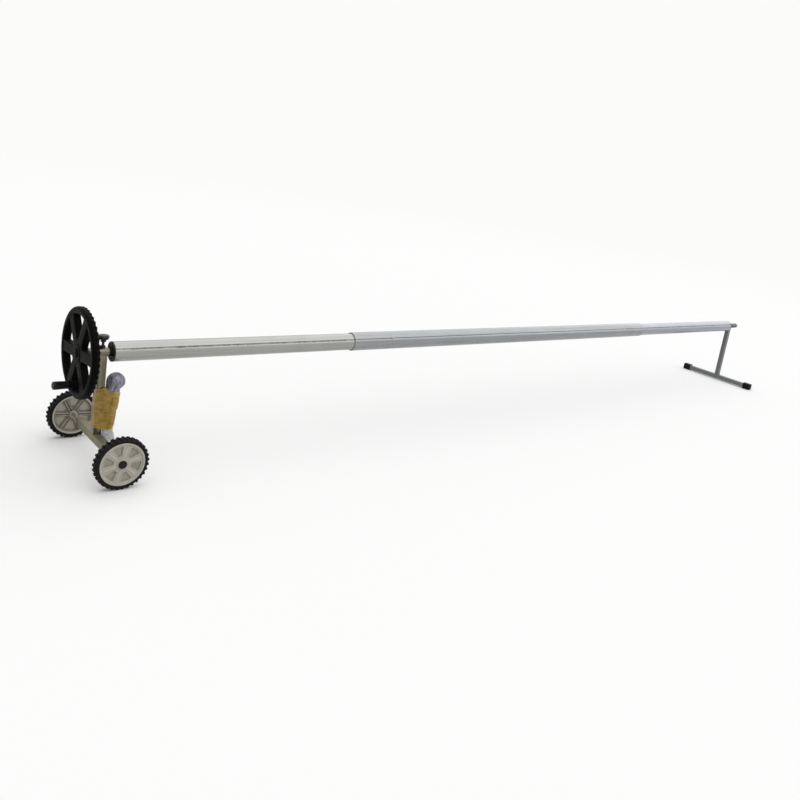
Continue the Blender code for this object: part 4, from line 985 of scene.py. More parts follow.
@dataclass
class Roller:
    """The turning tube: two narrow sections, the wider one between them, bushes and plugs."""

    left_shown: float = 1.088
    middle_length: float = 2.358
    right_shown: float = 1.204
    left_inside: float = 0.362
    right_inside: float = 0.246
    lip: float = 4.0 * MM
    bush_lip: float = 2.4 * MM
    bush_depth: float = 40.0 * MM
    drive_axle_start: float = -111.9 * MM
    idler_axle_reach: float = 151.0 * MM
    axle_radius: float = 12.5 * MM
    collar_place: float = 131.5 * MM
    collar_length: float = 16.0 * MM
    collar_radius: float = 17.0 * MM
    collar_screw: float = 2.6 * MM
    plug_depth: float = 70.0 * MM
    recess_depth: float = 2.0 * MM
    plug_ribs: int = 8
    end_tube: KeyedTube = field(default_factory=lambda: KeyedTube(
        radius=38.0 * MM, wall=1.8 * MM, groove_depth=2.6 * MM, opening=6.6 * MM,
        floor=5.8 * MM, flank=1.8 * MM))
    middle_tube: KeyedTube = field(default_factory=lambda: KeyedTube(
        radius=42.5 * MM, wall=1.8 * MM, groove_depth=3.6 * MM, opening=3.6 * MM,
        floor=2.4 * MM, flank=1.2 * MM))

    @property
    def middle_end(self) -> float:
        """Return where the wider section ends."""
        return self.left_shown + self.middle_length

    @property
    def end(self) -> float:
        """Return where the right section ends."""
        return self.middle_end + self.right_shown

    def build(self, bench: Bench) -> None:
        """Build the sections, their bushes and their plugs.

        Args:
            bench: Where the pieces go.
        """
        sections = (
            ("left_extrusion", self.end_tube, 0.0, self.left_shown + self.left_inside,
             ANODISED, "roller_drive", "tube_left"),
            ("middle_extrusion", self.middle_tube, self.left_shown, self.middle_end,
             GREY_ANODISED, "middle_section", "tube_middle"),
            ("right_extrusion", self.end_tube, self.middle_end - self.right_inside, self.end,
             COOL_ANODISED, "far_section", "tube_right"))
        for name, tube, start, end, finish, body, node in sections:
            made = bench.add(name, tube.shape(start, end, ROLLER_AXIS), finish, body, node,
                             sharp=25)
            # The grooves, and the bore inside this radius, get painted shade
            floor = tube.radius - 0.6 * tube.groove_depth
            mark(made, lambda spot, low=floor:
                 float(math.hypot(spot.y, spot.z - ROLLER_HEIGHT) < low))
        self.bush(bench, "guide_bush_left", self.left_shown, 1)
        self.bush(bench, "guide_bush_right", self.middle_end, -1)
        self.plug(bench, "tube_plug_left", 0.0, 1, "roller_drive")
        self.plug(bench, "tube_plug_right", self.end, -1, "far_section")
        for side in ("left", "right"):
            bench.dressed(f"section_screw_{side}", ZINC_PLATE, "middle_section")
        self.axles(bench)

    def bush(self, bench: Bench, node: str, mouth: float, inward: int) -> None:
        """Build the bush in one mouth of the wider section.

        Args:
            bench: Where the piece goes.
            node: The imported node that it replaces.
            mouth: Where the mouth is.
            inward: Which way the section runs from it, 1 or -1.
        """
        tube, ease = self.middle_tube, 0.4 * MM
        bore = self.end_tube.radius + SEAT
        body = tube.radius - tube.wall - SEAT
        face = mouth - inward * (SEAT + self.bush_lip)
        back = mouth - inward * SEAT
        slope = face + inward * 0.75 * self.bush_lip
        section = rounded([(face, bore), (face, bore + 1.0 * MM), (slope, tube.radius),
                           (back, tube.radius), (back, bore)], ease)
        parts = [turned(section, Axis.X, ROLLER_AXIS, 108)]
        half = (0.5 * tube.opening + tube.flank + 2 * SEAT) / body
        pitch = math.tau / tube.grooves
        start, stop = sorted((back - 0.5 * inward * ease, mouth + inward * self.bush_depth))
        for index in range(tube.grooves):
            first = tube.angle + index * pitch + half
            angles = [first + (pitch - 2 * half) * step / 32 for step in range(33)]
            outline = arc(body, angles) + arc(bore, angles[::-1])
            parts.append(prism(outline, Axis.X, start, stop, ROLLER_AXIS))
        # Its pale grey is painted light on the face that the lamp leaves in shade
        bench.add(f"{node}_moulding", merged(parts), PAINTED_LIGHT_NYLON, "middle_section", node)

    def plug(self, bench: Bench, node: str, end: float, inward: int, body: str) -> None:
        """Build the plug in one end of the roller, with its recessed and ribbed face.

        Args:
            bench: Where the piece goes.
            node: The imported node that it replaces.
            end: Where the roller ends.
            inward: Which way the roller runs from there, 1 or -1.
            body: The body that the plug moves with.
        """
        back = end - inward * SEAT
        face = back - inward * self.lip
        floor = face + inward * self.recess_depth
        bore = self.axle_radius + SEAT
        radius = self.end_tube.radius
        hub, rim, slope = bore + 4.5 * MM, radius - 4.0 * MM, 0.4 * MM
        section = rounded([(back, bore), (face, bore), (face, hub), (floor, hub + slope),
                           (floor, rim - slope), (face, rim), (face, radius),
                           (back, radius)], 0.5 * MM)
        rib_middle = Vector((0.5 * (face + floor) + inward * 0.3 * MM, 0.5 * (hub + rim), 0))
        rib = box((self.recess_depth, rim - hub + 1.0 * MM, 2.0 * MM),
                  Matrix.Translation(rib_middle), 0.3 * MM)
        inner = self.end_tube.outline(self.end_tube.wall + SEAT, self.end_tube.flank + 2 * SEAT)
        hole = arc(bore, [math.atan2(b, a) for a, b in inner])
        start, stop = sorted((end, end + inward * self.plug_depth))
        parts = [turned(section, Axis.X, ROLLER_AXIS, 108),
                 around(rib, self.plug_ribs, Axis.X, ROLLER_AXIS, NYLON),
                 pipe(inner, hole, Axis.X, start, stop, ROLLER_AXIS)]
        bench.add(f"{node}_moulding", merged(parts), NYLON, body, node)

    def axles(self, bench: Bench) -> None:
        """Build the drive axle, the idler axle and the collar on it.

        Args:
            bench: Where the pieces go.
        """
        drive = round_bar(self.drive_axle_start, self.plug_depth, self.axle_radius, 1.0 * MM,
                          Axis.X, ROLLER_AXIS, 48)
        bench.add("drive_axle_bar", drive, POLISHED_ROUND, "roller_drive", "drive_axle")
        idler = round_bar(self.end - self.plug_depth, self.end + self.idler_axle_reach,
                          self.axle_radius, 1.4 * MM, Axis.X, ROLLER_AXIS, 48)
        bench.add("idler_axle_bar", idler, POLISHED_ROUND, "far_section", "idler_axle")
        start, outer = self.end + self.collar_place, self.collar_radius
        collar = round_sleeve(start, start + self.collar_length, self.axle_radius + SEAT, outer,
                              0.9 * MM, ROLLER_AXIS, 64)
        middle = ROLLER_AXIS + Vector((start + 0.5 * self.collar_length, 0, 0))
        screw = round_bar(outer - 1.0 * MM, outer + 0.3 * MM, self.collar_screw, 0.3 * MM,
                          Axis.Z, middle, 24)
        bench.add("idler_axle_collar", merged([collar, screw]), ZINC_PLATE, "far_section",
                  "axle_collar")


@dataclass
class Handwheel:
    """The moulded handwheel with its bumpy rim, channel spokes, hub, boss and crank grip."""

    plane: float = -113.5 * MM
    radius: float = 168.5 * MM
    rim_width: float = 28.0 * MM
    rim_squareness: float = 0.62
    depth: float = 30.0 * MM
    bumps: int = 44
    bump_depth: float = 3.2 * MM
    spokes: int = 6
    spoke_turn: float = math.radians(-4)
    spoke_width: float = 41.0 * MM
    spoke_depth: float = 26.0 * MM
    spoke_face: float = 6.0 * MM
    spoke_wall: float = 4.5 * MM
    hub_radius: float = 34.0 * MM
    hub_front: float = -128.5 * MM
    hub_back: float = -94.5 * MM
    axle_bore: float = 12.8 * MM
    bolt_hole: float = 4.3 * MM
    recess_radius: float = 15.0 * MM
    grip_orbit: float = 139.0 * MM
    grip_angle: float = math.radians(-73)
    grip_radius: float = 15.5 * MM
    grip_left: float = -187.8 * MM
    grip_right: float = -130.8 * MM
    boss_radius: float = 29.0 * MM

    @property
    def grip_axis(self) -> Vector:
        """Return a point on the grip's axis."""
        return ROLLER_AXIS + Axis.X.point(0, self.grip_orbit, self.grip_angle)

    def rim(self) -> Shape:
        """Weld the rim up from one finger bump's length of it.

        Returns:
            The rim.
        """
        middle = self.radius - 0.5 * self.rim_width
        sides, steps = 28, 8
        rows = []
        for step in range(steps + 1):
            angle = math.tau / self.bumps * step / steps
            wave = 1 - (0.5 + 0.5 * math.cos(math.tau * step / steps)) ** 1.6
            row = []
            for side in range(sides):
                turn = math.tau * (side + 0.5) / sides
                across, deep = (math.copysign(abs(value) ** self.rim_squareness, value)
                                for value in (math.cos(turn), math.sin(turn)))
                share = max(0.0, across) * smoothstep(-0.2, 0.5, deep)
                behind = max(0.0, deep) * smoothstep(-0.1, 0.6, across)
                reach = middle + 0.5 * self.rim_width * across - self.bump_depth * wave * share
                along = self.plane + 0.5 * self.depth * deep - self.bump_depth * wave * behind
                row.append(Axis.X.point(along, reach, angle))
            rows.append(row)
        return around(grid(rows, sector=True), self.bumps, Axis.X, ROLLER_AXIS, MOULDED_BLACK)

    def spoke(self) -> Shape:
        """Build one spoke: a channel with a smooth face, open to the back.

        Returns:
            The spoke, which flares where it runs into the rim.
        """
        half = 0.5 * self.spoke_width
        front = self.plane - 0.5 * self.spoke_depth
        back = front + self.spoke_depth
        inner = half - self.spoke_wall
        floor = front + self.spoke_face
        corners = [(-half, back), (-half, front), (half, front), (half, back), (inner, back),
                   (inner, floor), (-inner, floor), (-inner, back)]
        outline = rounded(corners, 3.2 * MM, 4)
        turn = Matrix.Rotation(self.spoke_turn, 3, "X")
        stations = ((24, 1.0), (60, 1.0), (120, 1.0), (134, 1.03), (141, 1.10), (150, 1.16))
        return grid([[turn @ Vector((along, reach * MM, across * flare))
                      for across, along in outline] for reach, flare in stations])

    def hub(self) -> Shape:
        """Build the hub with its recess, and the web between the spokes' roots.

        Returns:
            The two in one.
        """
        wall_front = self.hub_front + 10 * MM
        wall_back = wall_front + 6 * MM
        section = rounded([(self.hub_front, self.recess_radius), (self.hub_front, self.hub_radius),
                           (self.hub_back, self.hub_radius), (self.hub_back, self.axle_bore),
                           (wall_back, self.axle_bore), (wall_back, self.bolt_hole),
                           (wall_front, self.bolt_hole), (wall_front, self.recess_radius)],
                          1.8 * MM)
        front = self.plane - 0.5 * self.spoke_depth
        web = round_sleeve(front + 1.2 * MM, front + self.spoke_face - 0.4 * MM,
                           self.hub_radius - 3 * MM, self.hub_radius + 18 * MM, 1.0 * MM,
                           ROLLER_AXIS, 72)
        return merged([turned(section, Axis.X, ROLLER_AXIS, 72), web])

    def boss(self) -> Shape:
        """Build the boss that carries the grip.

        Returns:
            The boss.
        """
        front = self.plane - 0.5 * self.depth - 2 * MM
        back = self.plane + 0.5 * self.depth
        section = rounded([(front, self.bolt_hole), (front, 19 * MM), (front + 2.5 * MM, 21 * MM),
                           (front + 3.5 * MM, self.boss_radius), (back, self.boss_radius),
                           (back, self.bolt_hole)], 1.6 * MM)
        return turned(section, Axis.X, self.grip_axis, 64)

    def build(self, bench: Bench) -> None:
        """Build the handwheel, its hardware and the grip.

        Args:
            bench: Where the pieces go.
        """
        parts = [self.rim(), around(self.spoke(), self.spokes, Axis.X, ROLLER_AXIS, MOULDED_BLACK),
                 self.hub(), self.boss()]
        bench.add("handwheel_moulding", merged(parts), MOULDED_BLACK, "roller_drive",
                  "handwheel", sharp=38)
        lip, skirt = self.hub_front - SEAT, self.recess_radius - SEAT
        cap = rounded([(lip + 6 * MM, skirt - 2 * MM), (lip + 6 * MM, skirt), (lip, skirt),
                       (lip, skirt + 3 * MM), (lip - 1.8 * MM, skirt + 3 * MM),
                       (lip - 3.6 * MM, skirt - 3 * MM), (lip - 3.0 * MM, skirt - 5 * MM),
                       (lip - 3.6 * MM, 4 * MM), (lip - 4 * MM, 0)], 0.8 * MM, closed=False)
        inside = [(lip, 0), (lip, skirt - 2 * MM)]
        bench.add("handwheel_hub_cap", turned(inside + cap, Axis.X, ROLLER_AXIS, 64, solid=True),
                  MOULDED_BLACK, "roller_drive", "handwheel_cap")
        for node in ("handwheel_bolt", "grip_nut", "grip_bolt"):
            bench.dressed(node, ZINC_PLATE, "roller_drive")
        self.grip(bench)

    def grip(self, bench: Bench) -> None:
        """Build the crank grip that turns on its bolt.

        Args:
            bench: Where the piece goes.
        """
        left, right, radius = self.grip_left, self.grip_right, self.grip_radius
        hole, recess = self.bolt_hole, 7.5 * MM
        section = rounded([
            (right, hole), (right, radius - 2.2 * MM), (right - 2.5 * MM, radius - 0.8 * MM),
            (right - 18 * MM, radius - 1.0 * MM), (left + 24 * MM, radius - 0.3 * MM),
            (left + 8 * MM, radius), (left + 2.5 * MM, radius - 0.9 * MM),
            (left, radius - 3.5 * MM), (left + 0.8 * MM, recess + 1.5 * MM), (left, recess),
            (left + 7 * MM, recess), (left + 7 * MM, hole)], 1.6 * MM)
        bench.add("crank_grip_moulding", turned(section, Axis.X, self.grip_axis, 64),
                  SMOOTH_BLACK, "grip", "crank_grip")


@dataclass
class SquareTube:
    """Square stainless or coated tube, as both stands are made from."""

    side: float = 30.0 * MM
    wall: float = 2.0 * MM
    corner: float = 3.4 * MM

    @property
    def outer(self) -> Outline:
        """Return the outside."""
        return rounded_square(self.side, self.corner)

    @property
    def inner(self) -> Outline:
        """Return the bore."""
        return rounded_square(self.side - 2 * self.wall, self.corner - self.wall)

    def bar(self, half: float, centre: Vector) -> Shape:
        """Return a length of tube along Y."""
        return pipe(self.outer, self.inner, Axis.Y, -half, half, centre)

    def coped_top(self, x: float, y: float, radius: float, place: float) -> Vector:
        """Return where the upright's wall meets a round sleeve on the roller's axis."""
        return Vector((place + x, y, ROLLER_HEIGHT - math.sqrt(radius * radius - y * y)))

    def upright(self, place: float, bottom: float, radius: float) -> Shape:
        """Return an upright whose top is coped to a sleeve.

        Args:
            place: The upright's middle along the roller.
            bottom: Where it starts.
            radius: The radius that the top is cut to.

        Returns:
            The upright.
        """
        rings = []
        for outline in (self.outer, self.inner):
            low = [Vector((place + x, y, bottom)) for x, y in outline]
            top = [self.coped_top(x, y, radius, place) for x, y in outline]
            rings.append((low, top))
        return grid([rings[0][0], rings[0][1], rings[1][1], rings[1][0]], close_rows=True)

    def top_path(self, place: float, radius: float) -> Ring:
        """Return the weld's path round the coped top."""
        outline, most = rounded_square(self.side + 1.0 * MM, self.corner), radius * 0.98
        return [self.coped_top(x, min(max(y, -most), most), radius, place)
                for x, y in outline]

    def foot_path(self, place: float, side: int, level: float) -> Ring:
        """Return the path of the weld across the bar on one side of the upright."""
        half, out = 0.5 * self.side - 1.5 * MM, 0.5 * self.side + 0.4 * MM
        return [Vector((place - half + 2 * half * step / 8, side * out, level))
                for step in range(9)]

    def post(self, place: float, bar_height: float, sleeve: BearingSleeve, finish: Finish) -> Shape:
        """Build an upright between a bar and a sleeve, with its welds.

        Args:
            place: The upright's middle along the roller.
            bar_height: The middle of the bar that it stands on.
            sleeve: The sleeve that it carries.
            finish: The finish of its welds.

        Returns:
            The upright and its welds in one.
        """
        top = bar_height + 0.5 * self.side
        cut = sleeve.radius + SEAT
        parts = [self.upright(place, top + SEAT, cut),
                 weld(self.top_path(place, cut - 0.6 * MM), finish)]
        parts += [weld(self.foot_path(place, side, top + 0.4 * MM), finish, closed=False)
                  for side in (-1, 1)]
        return merged(parts)


@dataclass
class BearingSleeve:
    """A round sleeve on the roller's axis with a flanged bush in each end."""

    start: float
    end: float
    radius: float = 17.0 * MM
    wall: float = 2.0 * MM
    bore: float = 12.8 * MM
    lip: float = 3.0 * MM
    bush_depth: float = 20.0 * MM

    def bush(self, end: float, inward: int) -> Shape:
        """Build the flanged bush in one end.

        Args:
            end: Where the sleeve ends.
            inward: Which way the sleeve runs from there, 1 or -1.

        Returns:
            The bush.
        """
        body = self.radius - self.wall - SEAT
        back = end - inward * SEAT
        face, inside = back - inward * self.lip, end + inward * self.bush_depth
        section = rounded([(face, self.bore), (face, self.radius), (back, self.radius),
                           (back, body), (inside, body), (inside, self.bore)], 0.8 * MM)
        return turned(section, Axis.X, ROLLER_AXIS, 72)

    def build(self, bench: Bench, stand: str, side: str, roller: int, finish: Finish) -> None:
        """Build the sleeve and its bushes.

        Args:
            bench: Where the pieces go.
            stand: The stand's name.
            side: The stand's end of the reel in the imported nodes' names.
            roller: Which way the roller lies from the sleeve, 1 or -1.
            finish: The sleeve's finish.
        """
        tube = round_sleeve(self.start, self.end, self.radius - self.wall, self.radius, 0.7 * MM,
                            ROLLER_AXIS, 72)
        body = f"{stand}_stand"
        bench.add(f"{stand}_sleeve", tube, finish, body, f"{side}_sleeve")
        ends = ((self.start, 1), (self.end, -1))
        for place, (end, inward) in zip(("inner", "outer"), ends[::-roller]):
            bench.add(f"{stand}_bush_{place}", self.bush(end, inward), NYLON, body,
                      f"{side}_bush_{place}")


@dataclass
class DriveStand:
    """The wheeled stand without its wheels: post, sleeve, crossbar, axle and locking screw."""

    place: float = DRIVE_POST
    crossbar_half: float = 162.0 * MM
    axle_half: float = 263.0 * MM
    axle_radius: float = 8.0 * MM
    joint_drop: float = 12.0 * MM
    stem_foot: float = 12.8 * MM
    stem_top: float = 54.6 * MM
    stem_radius: float = 4.4 * MM
    thread_start: float = 16.0 * MM
    thread_pitch: float = 1.25 * MM
    thread_turns: float = 26.0
    knob_base: float = 39.0 * MM
    knob_height: float = 27.0 * MM
    knob_lobes: int = 6
    lobe_depth: float = 2.0 * MM
    tube: SquareTube = field(default_factory=SquareTube)
    sleeve: BearingSleeve = field(default_factory=lambda: BearingSleeve(-90.9 * MM, -7.9 * MM))

    @property
    def sleeve_middle(self) -> Vector:
        """Return the point on the roller's axis over the post."""
        return Vector((self.place, 0, ROLLER_HEIGHT))

    def build(self, bench: Bench) -> None:
        """Build the stand.

        Args:
            bench: Where the pieces go.
        """
        body = "drive_stand"
        joint = bench.origin + self.sleeve_middle - Vector((0, 0, self.joint_drop))
        post = self.tube.post(self.place, AXLE_HEIGHT, self.sleeve, POLISHED_ROUND)
        bench.add("drive_post", post, replace(POLISHED_POST, joint=tuple(joint)), body, "left_post")
        self.sleeve.build(bench, "drive", "left", 1, POLISHED_ROUND)
        middle = Vector((self.place, 0, AXLE_HEIGHT))
        joint = bench.origin + middle + Vector((0, 0, 0.5 * self.tube.side))
        bench.add("drive_crossbar", self.tube.bar(self.crossbar_half, middle),
                  replace(POLISHED_BAR, joint=tuple(joint)), body, "crossbar")
        axle = round_bar(-self.axle_half, self.axle_half, self.axle_radius, 1.0 * MM, Axis.Y,
                         middle, 40)
        bench.add("wheel_axle_bar", axle, AXLE_BAR, body, "wheel_axle")
        for side in ("front", "rear"):
            bench.dressed(f"crossbar_plug_{side}", NYLON, body, 0.5 * MM)
            for place in ("inner", "outer"):
                bench.dressed(f"axle_ring_{side}_{place}", ZINC_PLATE, body)
        bench.dressed("lock_nut", BLACK_OXIDE, body, 0.5 * MM)
        self.stem(bench)
        self.knob(bench)

    def stem(self, bench: Bench) -> None:
        """Build the locking screw's threaded stem.

        Args:
            bench: Where the piece goes.
        """
        foot = self.sleeve_middle
        core = round_bar(self.stem_foot, self.stem_top, self.stem_radius, 0.5 * MM, Axis.Z, foot,
                         32)
        empty = bmesh.new()
        empty.verts.new((0, 0, 0))
        thread = SCREW_THREAD.make(empty, BLACK_OXIDE, **{
            "Turns": self.thread_turns, "Radius": self.stem_radius + 0.05 * MM,
            "Height": self.thread_pitch * self.thread_turns, "Ridge": 0.55 * MM})
        bmesh.ops.translate(thread, vec=foot + Vector((0, 0, self.thread_start)),
                            verts=thread.verts)
        bench.add("locking_stem", merged([core, thread]), BLACK_OXIDE, "locking_knob",
                  "lock_screw", sharp=50)

    def knob(self, bench: Bench) -> None:
        """Build the mushroom-shaped knob, welded up from one of its lobes.

        Args:
            bench: Where the piece goes.
        """
        # Radius in millimetres, share of the knob's height, and share of the lobes' depth
        levels = [(0.0, 0.56, 0.0), (5.2, 0.56, 0.0), (5.2, 0.0, 0.0), (8.4, 0.0, 0.0),
                  (9.2, 0.03, 0.0), (9.4, 0.16, 0.0), (12.0, 0.28, 0.3), (17.5, 0.42, 0.8),
                  (20.6, 0.50, 1.0), (21.4, 0.58, 1.0), (21.5, 0.68, 1.0), (21.0, 0.80, 1.0),
                  (19.6, 0.90, 0.9), (17.0, 0.96, 0.7), (14.0, 0.985, 0.4), (12.8, 0.975, 0.1),
                  (12.2, 0.955, 0.0), (11.0, 0.955, 0.0), (10.6, 0.975, 0.0), (7.0, 0.995, 0.0),
                  (0.0, 1.0, 0.0)]
        steps = 16
        rows = []
        for step in range(steps + 1):
            angle = math.tau / self.knob_lobes * step / steps
            dip = self.lobe_depth * (0.5 - 0.5 * math.cos(self.knob_lobes * angle))
            rows.append([Axis.Z.point(self.knob_base + share * self.knob_height,
                                      reach * MM - dip * lobed, angle)
                         for reach, share, lobed in levels])
        sector = grid(rows, close_columns=False, sector=True)
        knob = around(sector, self.knob_lobes, Axis.Z, self.sleeve_middle, POLISHED_KNOB)
        bench.add("locking_knob_moulding", knob, POLISHED_KNOB, "locking_knob", "lock_knob",
                  sharp=40)


class Zone(Enum):
    """What one of a rim's angular lines crosses."""

    POCKET = "the floor of a pocket"
    WALL = "the wall beside a pocket"
    LAND = "the flat between two pockets"
    RIDGE = "the raised line down the middle of a flat"


@dataclass
class RoadWheel:
    """One wheel: a moulded rim with pockets and ribs, a cleated tyre and a hub cap."""

    suffix: str
    side: int
    turn: float
    origin: Vector
    track: float = 0.257
    half: float = 16.5 * MM
    rib_offset: float = 4.5 * MM
    lugs: int = 32
    spokes: int = 6
    rim_radius: float = 79.7 * MM
    seat_radius: float = 76.0 * MM
    barrel: float = 73.0 * MM
    web: float = 11.5 * MM
    back: float = 5.5 * MM
    bore: float = 8.3 * MM
    recess: float = 12.5 * MM
    hub: float = 18.5 * MM
    pocket_depth: float = 5.3 * MM
    pocket_back: float = 2.5 * MM
    hub_ring: float = 24.5 * MM
    pocket_low: float = 33.0 * MM
    pocket_high: float = 66.0 * MM
    ridge_height: float = 1.1 * MM

    @property
    def body(self) -> str:
        """Return the body that the wheel's pieces move with."""
        return f"wheel_{self.suffix}"

    @property
    def place(self) -> Vector:
        """Return the wheel's middle."""
        return Vector((DRIVE_POST, self.side * self.track, AXLE_HEIGHT))

    def point(self, out: float, radius: float, angle: float) -> Vector:
        """Return a point of the wheel: out from its middle plane, at a radius and an angle.

        Args:
            out: The distance out from the wheel's middle plane, away from the stand.
            radius: The distance from the axle.
            angle: The angle from +X towards +Z.

        Returns:
            The point, from the wheel's middle.
        """
        return Vector((radius * math.cos(angle), self.side * out, radius * math.sin(angle)))

    def tyre(self) -> Shape:
        """Weld the tyre up from one pitch of its staggered blocks.

        Returns:
            The tyre.
        """
        # Out, radius, and how far a block stands out and up from there, in millimetres
        section = [(13.0, 76.4, 0, 0), (14.6, 78.9, 0, 0), (15.9, 81.2, 0, 0),
                   (15.9, 84.4, 0, 0), (15.9, 85.4, 0.5, 0), (15.9, 88.0, 0.6, 0.6),
                   (15.3, 89.9, 0.7, 3.0), (13.6, 90.9, 0.3, 4.5), (11.5, 91.0, 0, 4.9),
                   (8.0, 91.0, 0, 5.0), (4.5, 91.0, 0, 5.0), (1.6, 91.0, 0, 5.0),
                   (0.7, 91.0, 0, 4.6), (0.3, 91.0, 0, 0.0)]
        widest, steps = 15.9, 18
        rows = []
        for step in range(steps + 1):
            share = step / steps
            row = []
            for flank, stagger, line in ((1, 0.0, section), (-1, 0.5, section[::-1])):
                for out, radius, wide, high in line:
                    phase = (share + stagger - 0.10 * out / widest) % 1.0
                    block = smoothstep(0.03, 0.09, phase) * (1 - smoothstep(0.50, 0.56, phase))
                    row.append(self.point(flank * (out + wide * block) * MM,
                                          (radius + high * block) * MM,
                                          math.tau / self.lugs * share))
            rows.append(row)
        return around(grid(rows, sector=True), self.lugs, Axis.Y, self.place, TYRE_BLACK)

    def columns(self) -> list[tuple[Zone, Callable[[float], float]]]:
        """List the angular lines of one sector of the rim.

        Returns:
            What each line crosses, and its angle at a radius.
        """
        half = math.pi / self.spokes
        lines: list[tuple[Zone, Callable[[float], float]]] = []

        def edge(radius: float) -> float:
            """Return half the angle of a pocket, which is wider further out."""
            share = (radius - self.pocket_low) / (self.pocket_high - self.pocket_low)
            return (6.0 + 12.0 * min(1.1, max(-0.1, share))) * MM / max(radius, self.pocket_low)

        def wall(radius: float) -> float:
            """Return the angle that a pocket's sloping wall takes."""
            return 0.8 * MM / max(radius, self.hub)

        for step in range(6):
            lines.append((Zone.POCKET, lambda r, s=step / 5: edge(r) * s))
        lines.append((Zone.WALL, lambda r: edge(r) + wall(r)))
        for step in range(1, 6):
            lines.append((Zone.LAND, lambda r, s=step / 5: (edge(r) + wall(r)) * (1 - s)
                          + (half - 2.8 * wall(r)) * s))
        lines.append((Zone.RIDGE, lambda r: half - 1.6 * wall(r)))
        lines.append((Zone.RIDGE, lambda r: half))
        mirror = [(zone, lambda r, f=line: -f(r)) for zone, line in reversed(lines[1:])]
        return mirror + lines

    def rim(self) -> Shape:
        """Weld the rim up from one sector with its pocket and half ridges.

        Returns:
            The rim.
        """
        edge, bead, seat = self.half - 1.0 * MM, self.half - 3.7 * MM, self.seat_radius
        web, back, barrel, rim = self.web, self.back, self.barrel, self.rim_radius
        low, high = self.pocket_low, self.pocket_high
        ring, deep = self.hub_ring, back - 9.0 * MM
        face = [self.hub + 1.5 * MM, 21.5 * MM, 22.3 * MM, 27 * MM, low - 0.8 * MM, low,
                42 * MM, 50 * MM, 58 * MM, high, high + 0.8 * MM, 68.4 * MM, 69.2 * MM]
        behind = [high + 2.6 * MM, high + 1.6 * MM, 58 * MM, 50 * MM, 42 * MM, low - 1.6 * MM,
                  low - 2.6 * MM]
        section = [(back, self.bore), (back, self.recess), (self.half - 2.4 * MM, self.recess),
                   (self.half - 2.0 * MM, self.recess + 0.4 * MM),
                   (self.half - 2.0 * MM, self.hub - 0.6 * MM), (self.half - 2.6 * MM, self.hub)]
        section += [(web, radius) for radius in face]
        section += [(web, barrel - 3.0 * MM), (web + 0.8 * MM, barrel - 1.4 * MM),
                    (edge - 0.5 * MM, barrel), (edge, barrel + 0.6 * MM), (edge, rim - 0.7 * MM),
                    (edge - 0.6 * MM, rim), (bead, seat), (-bead, seat), (-edge + 0.6 * MM, rim),
                    (-edge, rim - 0.7 * MM), (-edge, barrel + 0.4 * MM),
                    (-edge + 0.5 * MM, barrel), (back - 1.2 * MM, barrel - 0.8 * MM),
                    (back, barrel - 2.0 * MM)]
        section += [(back, radius) for radius in behind]
        section += [(back, ring + 0.5 * MM), (back - 0.5 * MM, ring), (deep + 0.4 * MM, ring),
                    (deep, ring - 0.4 * MM), (deep, ring - 1.6 * MM),
                    (deep + 0.4 * MM, ring - 2.0 * MM), (back, ring - 2.1 * MM),
                    (back, 17.4 * MM), (back - 1.0 * MM, 16.6 * MM),
                    (-self.half + 0.6 * MM, 14.5 * MM), (-self.half, 13.9 * MM),
                    (-self.half, self.bore)]
        centre = self.turn + math.pi / self.spokes
        rows = []
        for zone, line in self.columns():
            row = []
            for out, radius in section:
                raised = 0.0
                if out == web and zone is Zone.POCKET and low <= radius <= high:
                    raised = -self.pocket_depth
                elif out == web and zone is Zone.RIDGE and 22 * MM <= radius <= 68.5 * MM:
                    raised = self.ridge_height
                elif out == back and zone in (Zone.POCKET, Zone.WALL) and (
                        low - 2 * MM < radius < high + 2 * MM):
                    raised = -self.pocket_back
                row.append(self.point(out + raised, radius, centre + line(radius)))
            rows.append(row)
        return around(grid(rows, sector=True), self.spokes, Axis.Y, self.place, WHEEL_GREY)

    def spread_boxes(self, size: Sequence[float], middles: Sequence[Vector], turn: float,
                     ease: float) -> Shape:
        """Repeat eased boxes round the wheel, once for each spoke.

        Args:
            size: The sides of each box: along the spoke, out and across.
            middles: Their middles beside a spoke along X.
            turn: How far the first spoke is turned from there.
            ease: The width of the rounding of their edges.

        Returns:
            The ring of boxes.
        """
        spin = Matrix.Rotation(-turn, 4, "Y")
        parts = [box(size, spin @ Matrix.Translation(middle), ease) for middle in middles]
        return around(merged(parts), self.spokes, Axis.Y, self.place, WHEEL_GREY)

    def ribs(self) -> Shape:
        """Build the paired ribs on the wheel's back and the small gussets round its hub.

        Returns:
            The ribs and gussets in one.
        """
        inner, outer = 14.0 * MM, self.barrel + 1.0 * MM
        low, high = -self.half + 6.0 * MM, self.web - 3.0 * MM
        middles = [Vector((0.5 * (inner + outer), self.side * 0.5 * (low + high), offset))
                   for offset in (-self.rib_offset, self.rib_offset)]
        ribs = self.spread_boxes((outer - inner, high - low, 2.2 * MM), middles, self.turn,
                                 0.5 * MM)
        inner, outer = 14.2 * MM, self.hub_ring - 1.0 * MM
        low, high = self.back - 7.0 * MM, self.back + 1.0 * MM
        middle = Vector((0.5 * (inner + outer), self.side * 0.5 * (low + high), 0))
        gussets = self.spread_boxes((outer - inner, high - low, 1.8 * MM), [middle],
                                    self.turn + math.pi / self.spokes, 0.3 * MM)
        return merged([ribs, gussets])

    def shade_and_dirt(self, spot: Vector) -> float:
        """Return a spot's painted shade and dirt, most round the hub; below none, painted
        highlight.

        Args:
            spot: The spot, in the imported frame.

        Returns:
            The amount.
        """
        local = spot - self.place - self.origin
        out, radius = self.side * local.y, math.hypot(local.x, local.z)
        web = abs(out - self.back) < 1.0 * MM
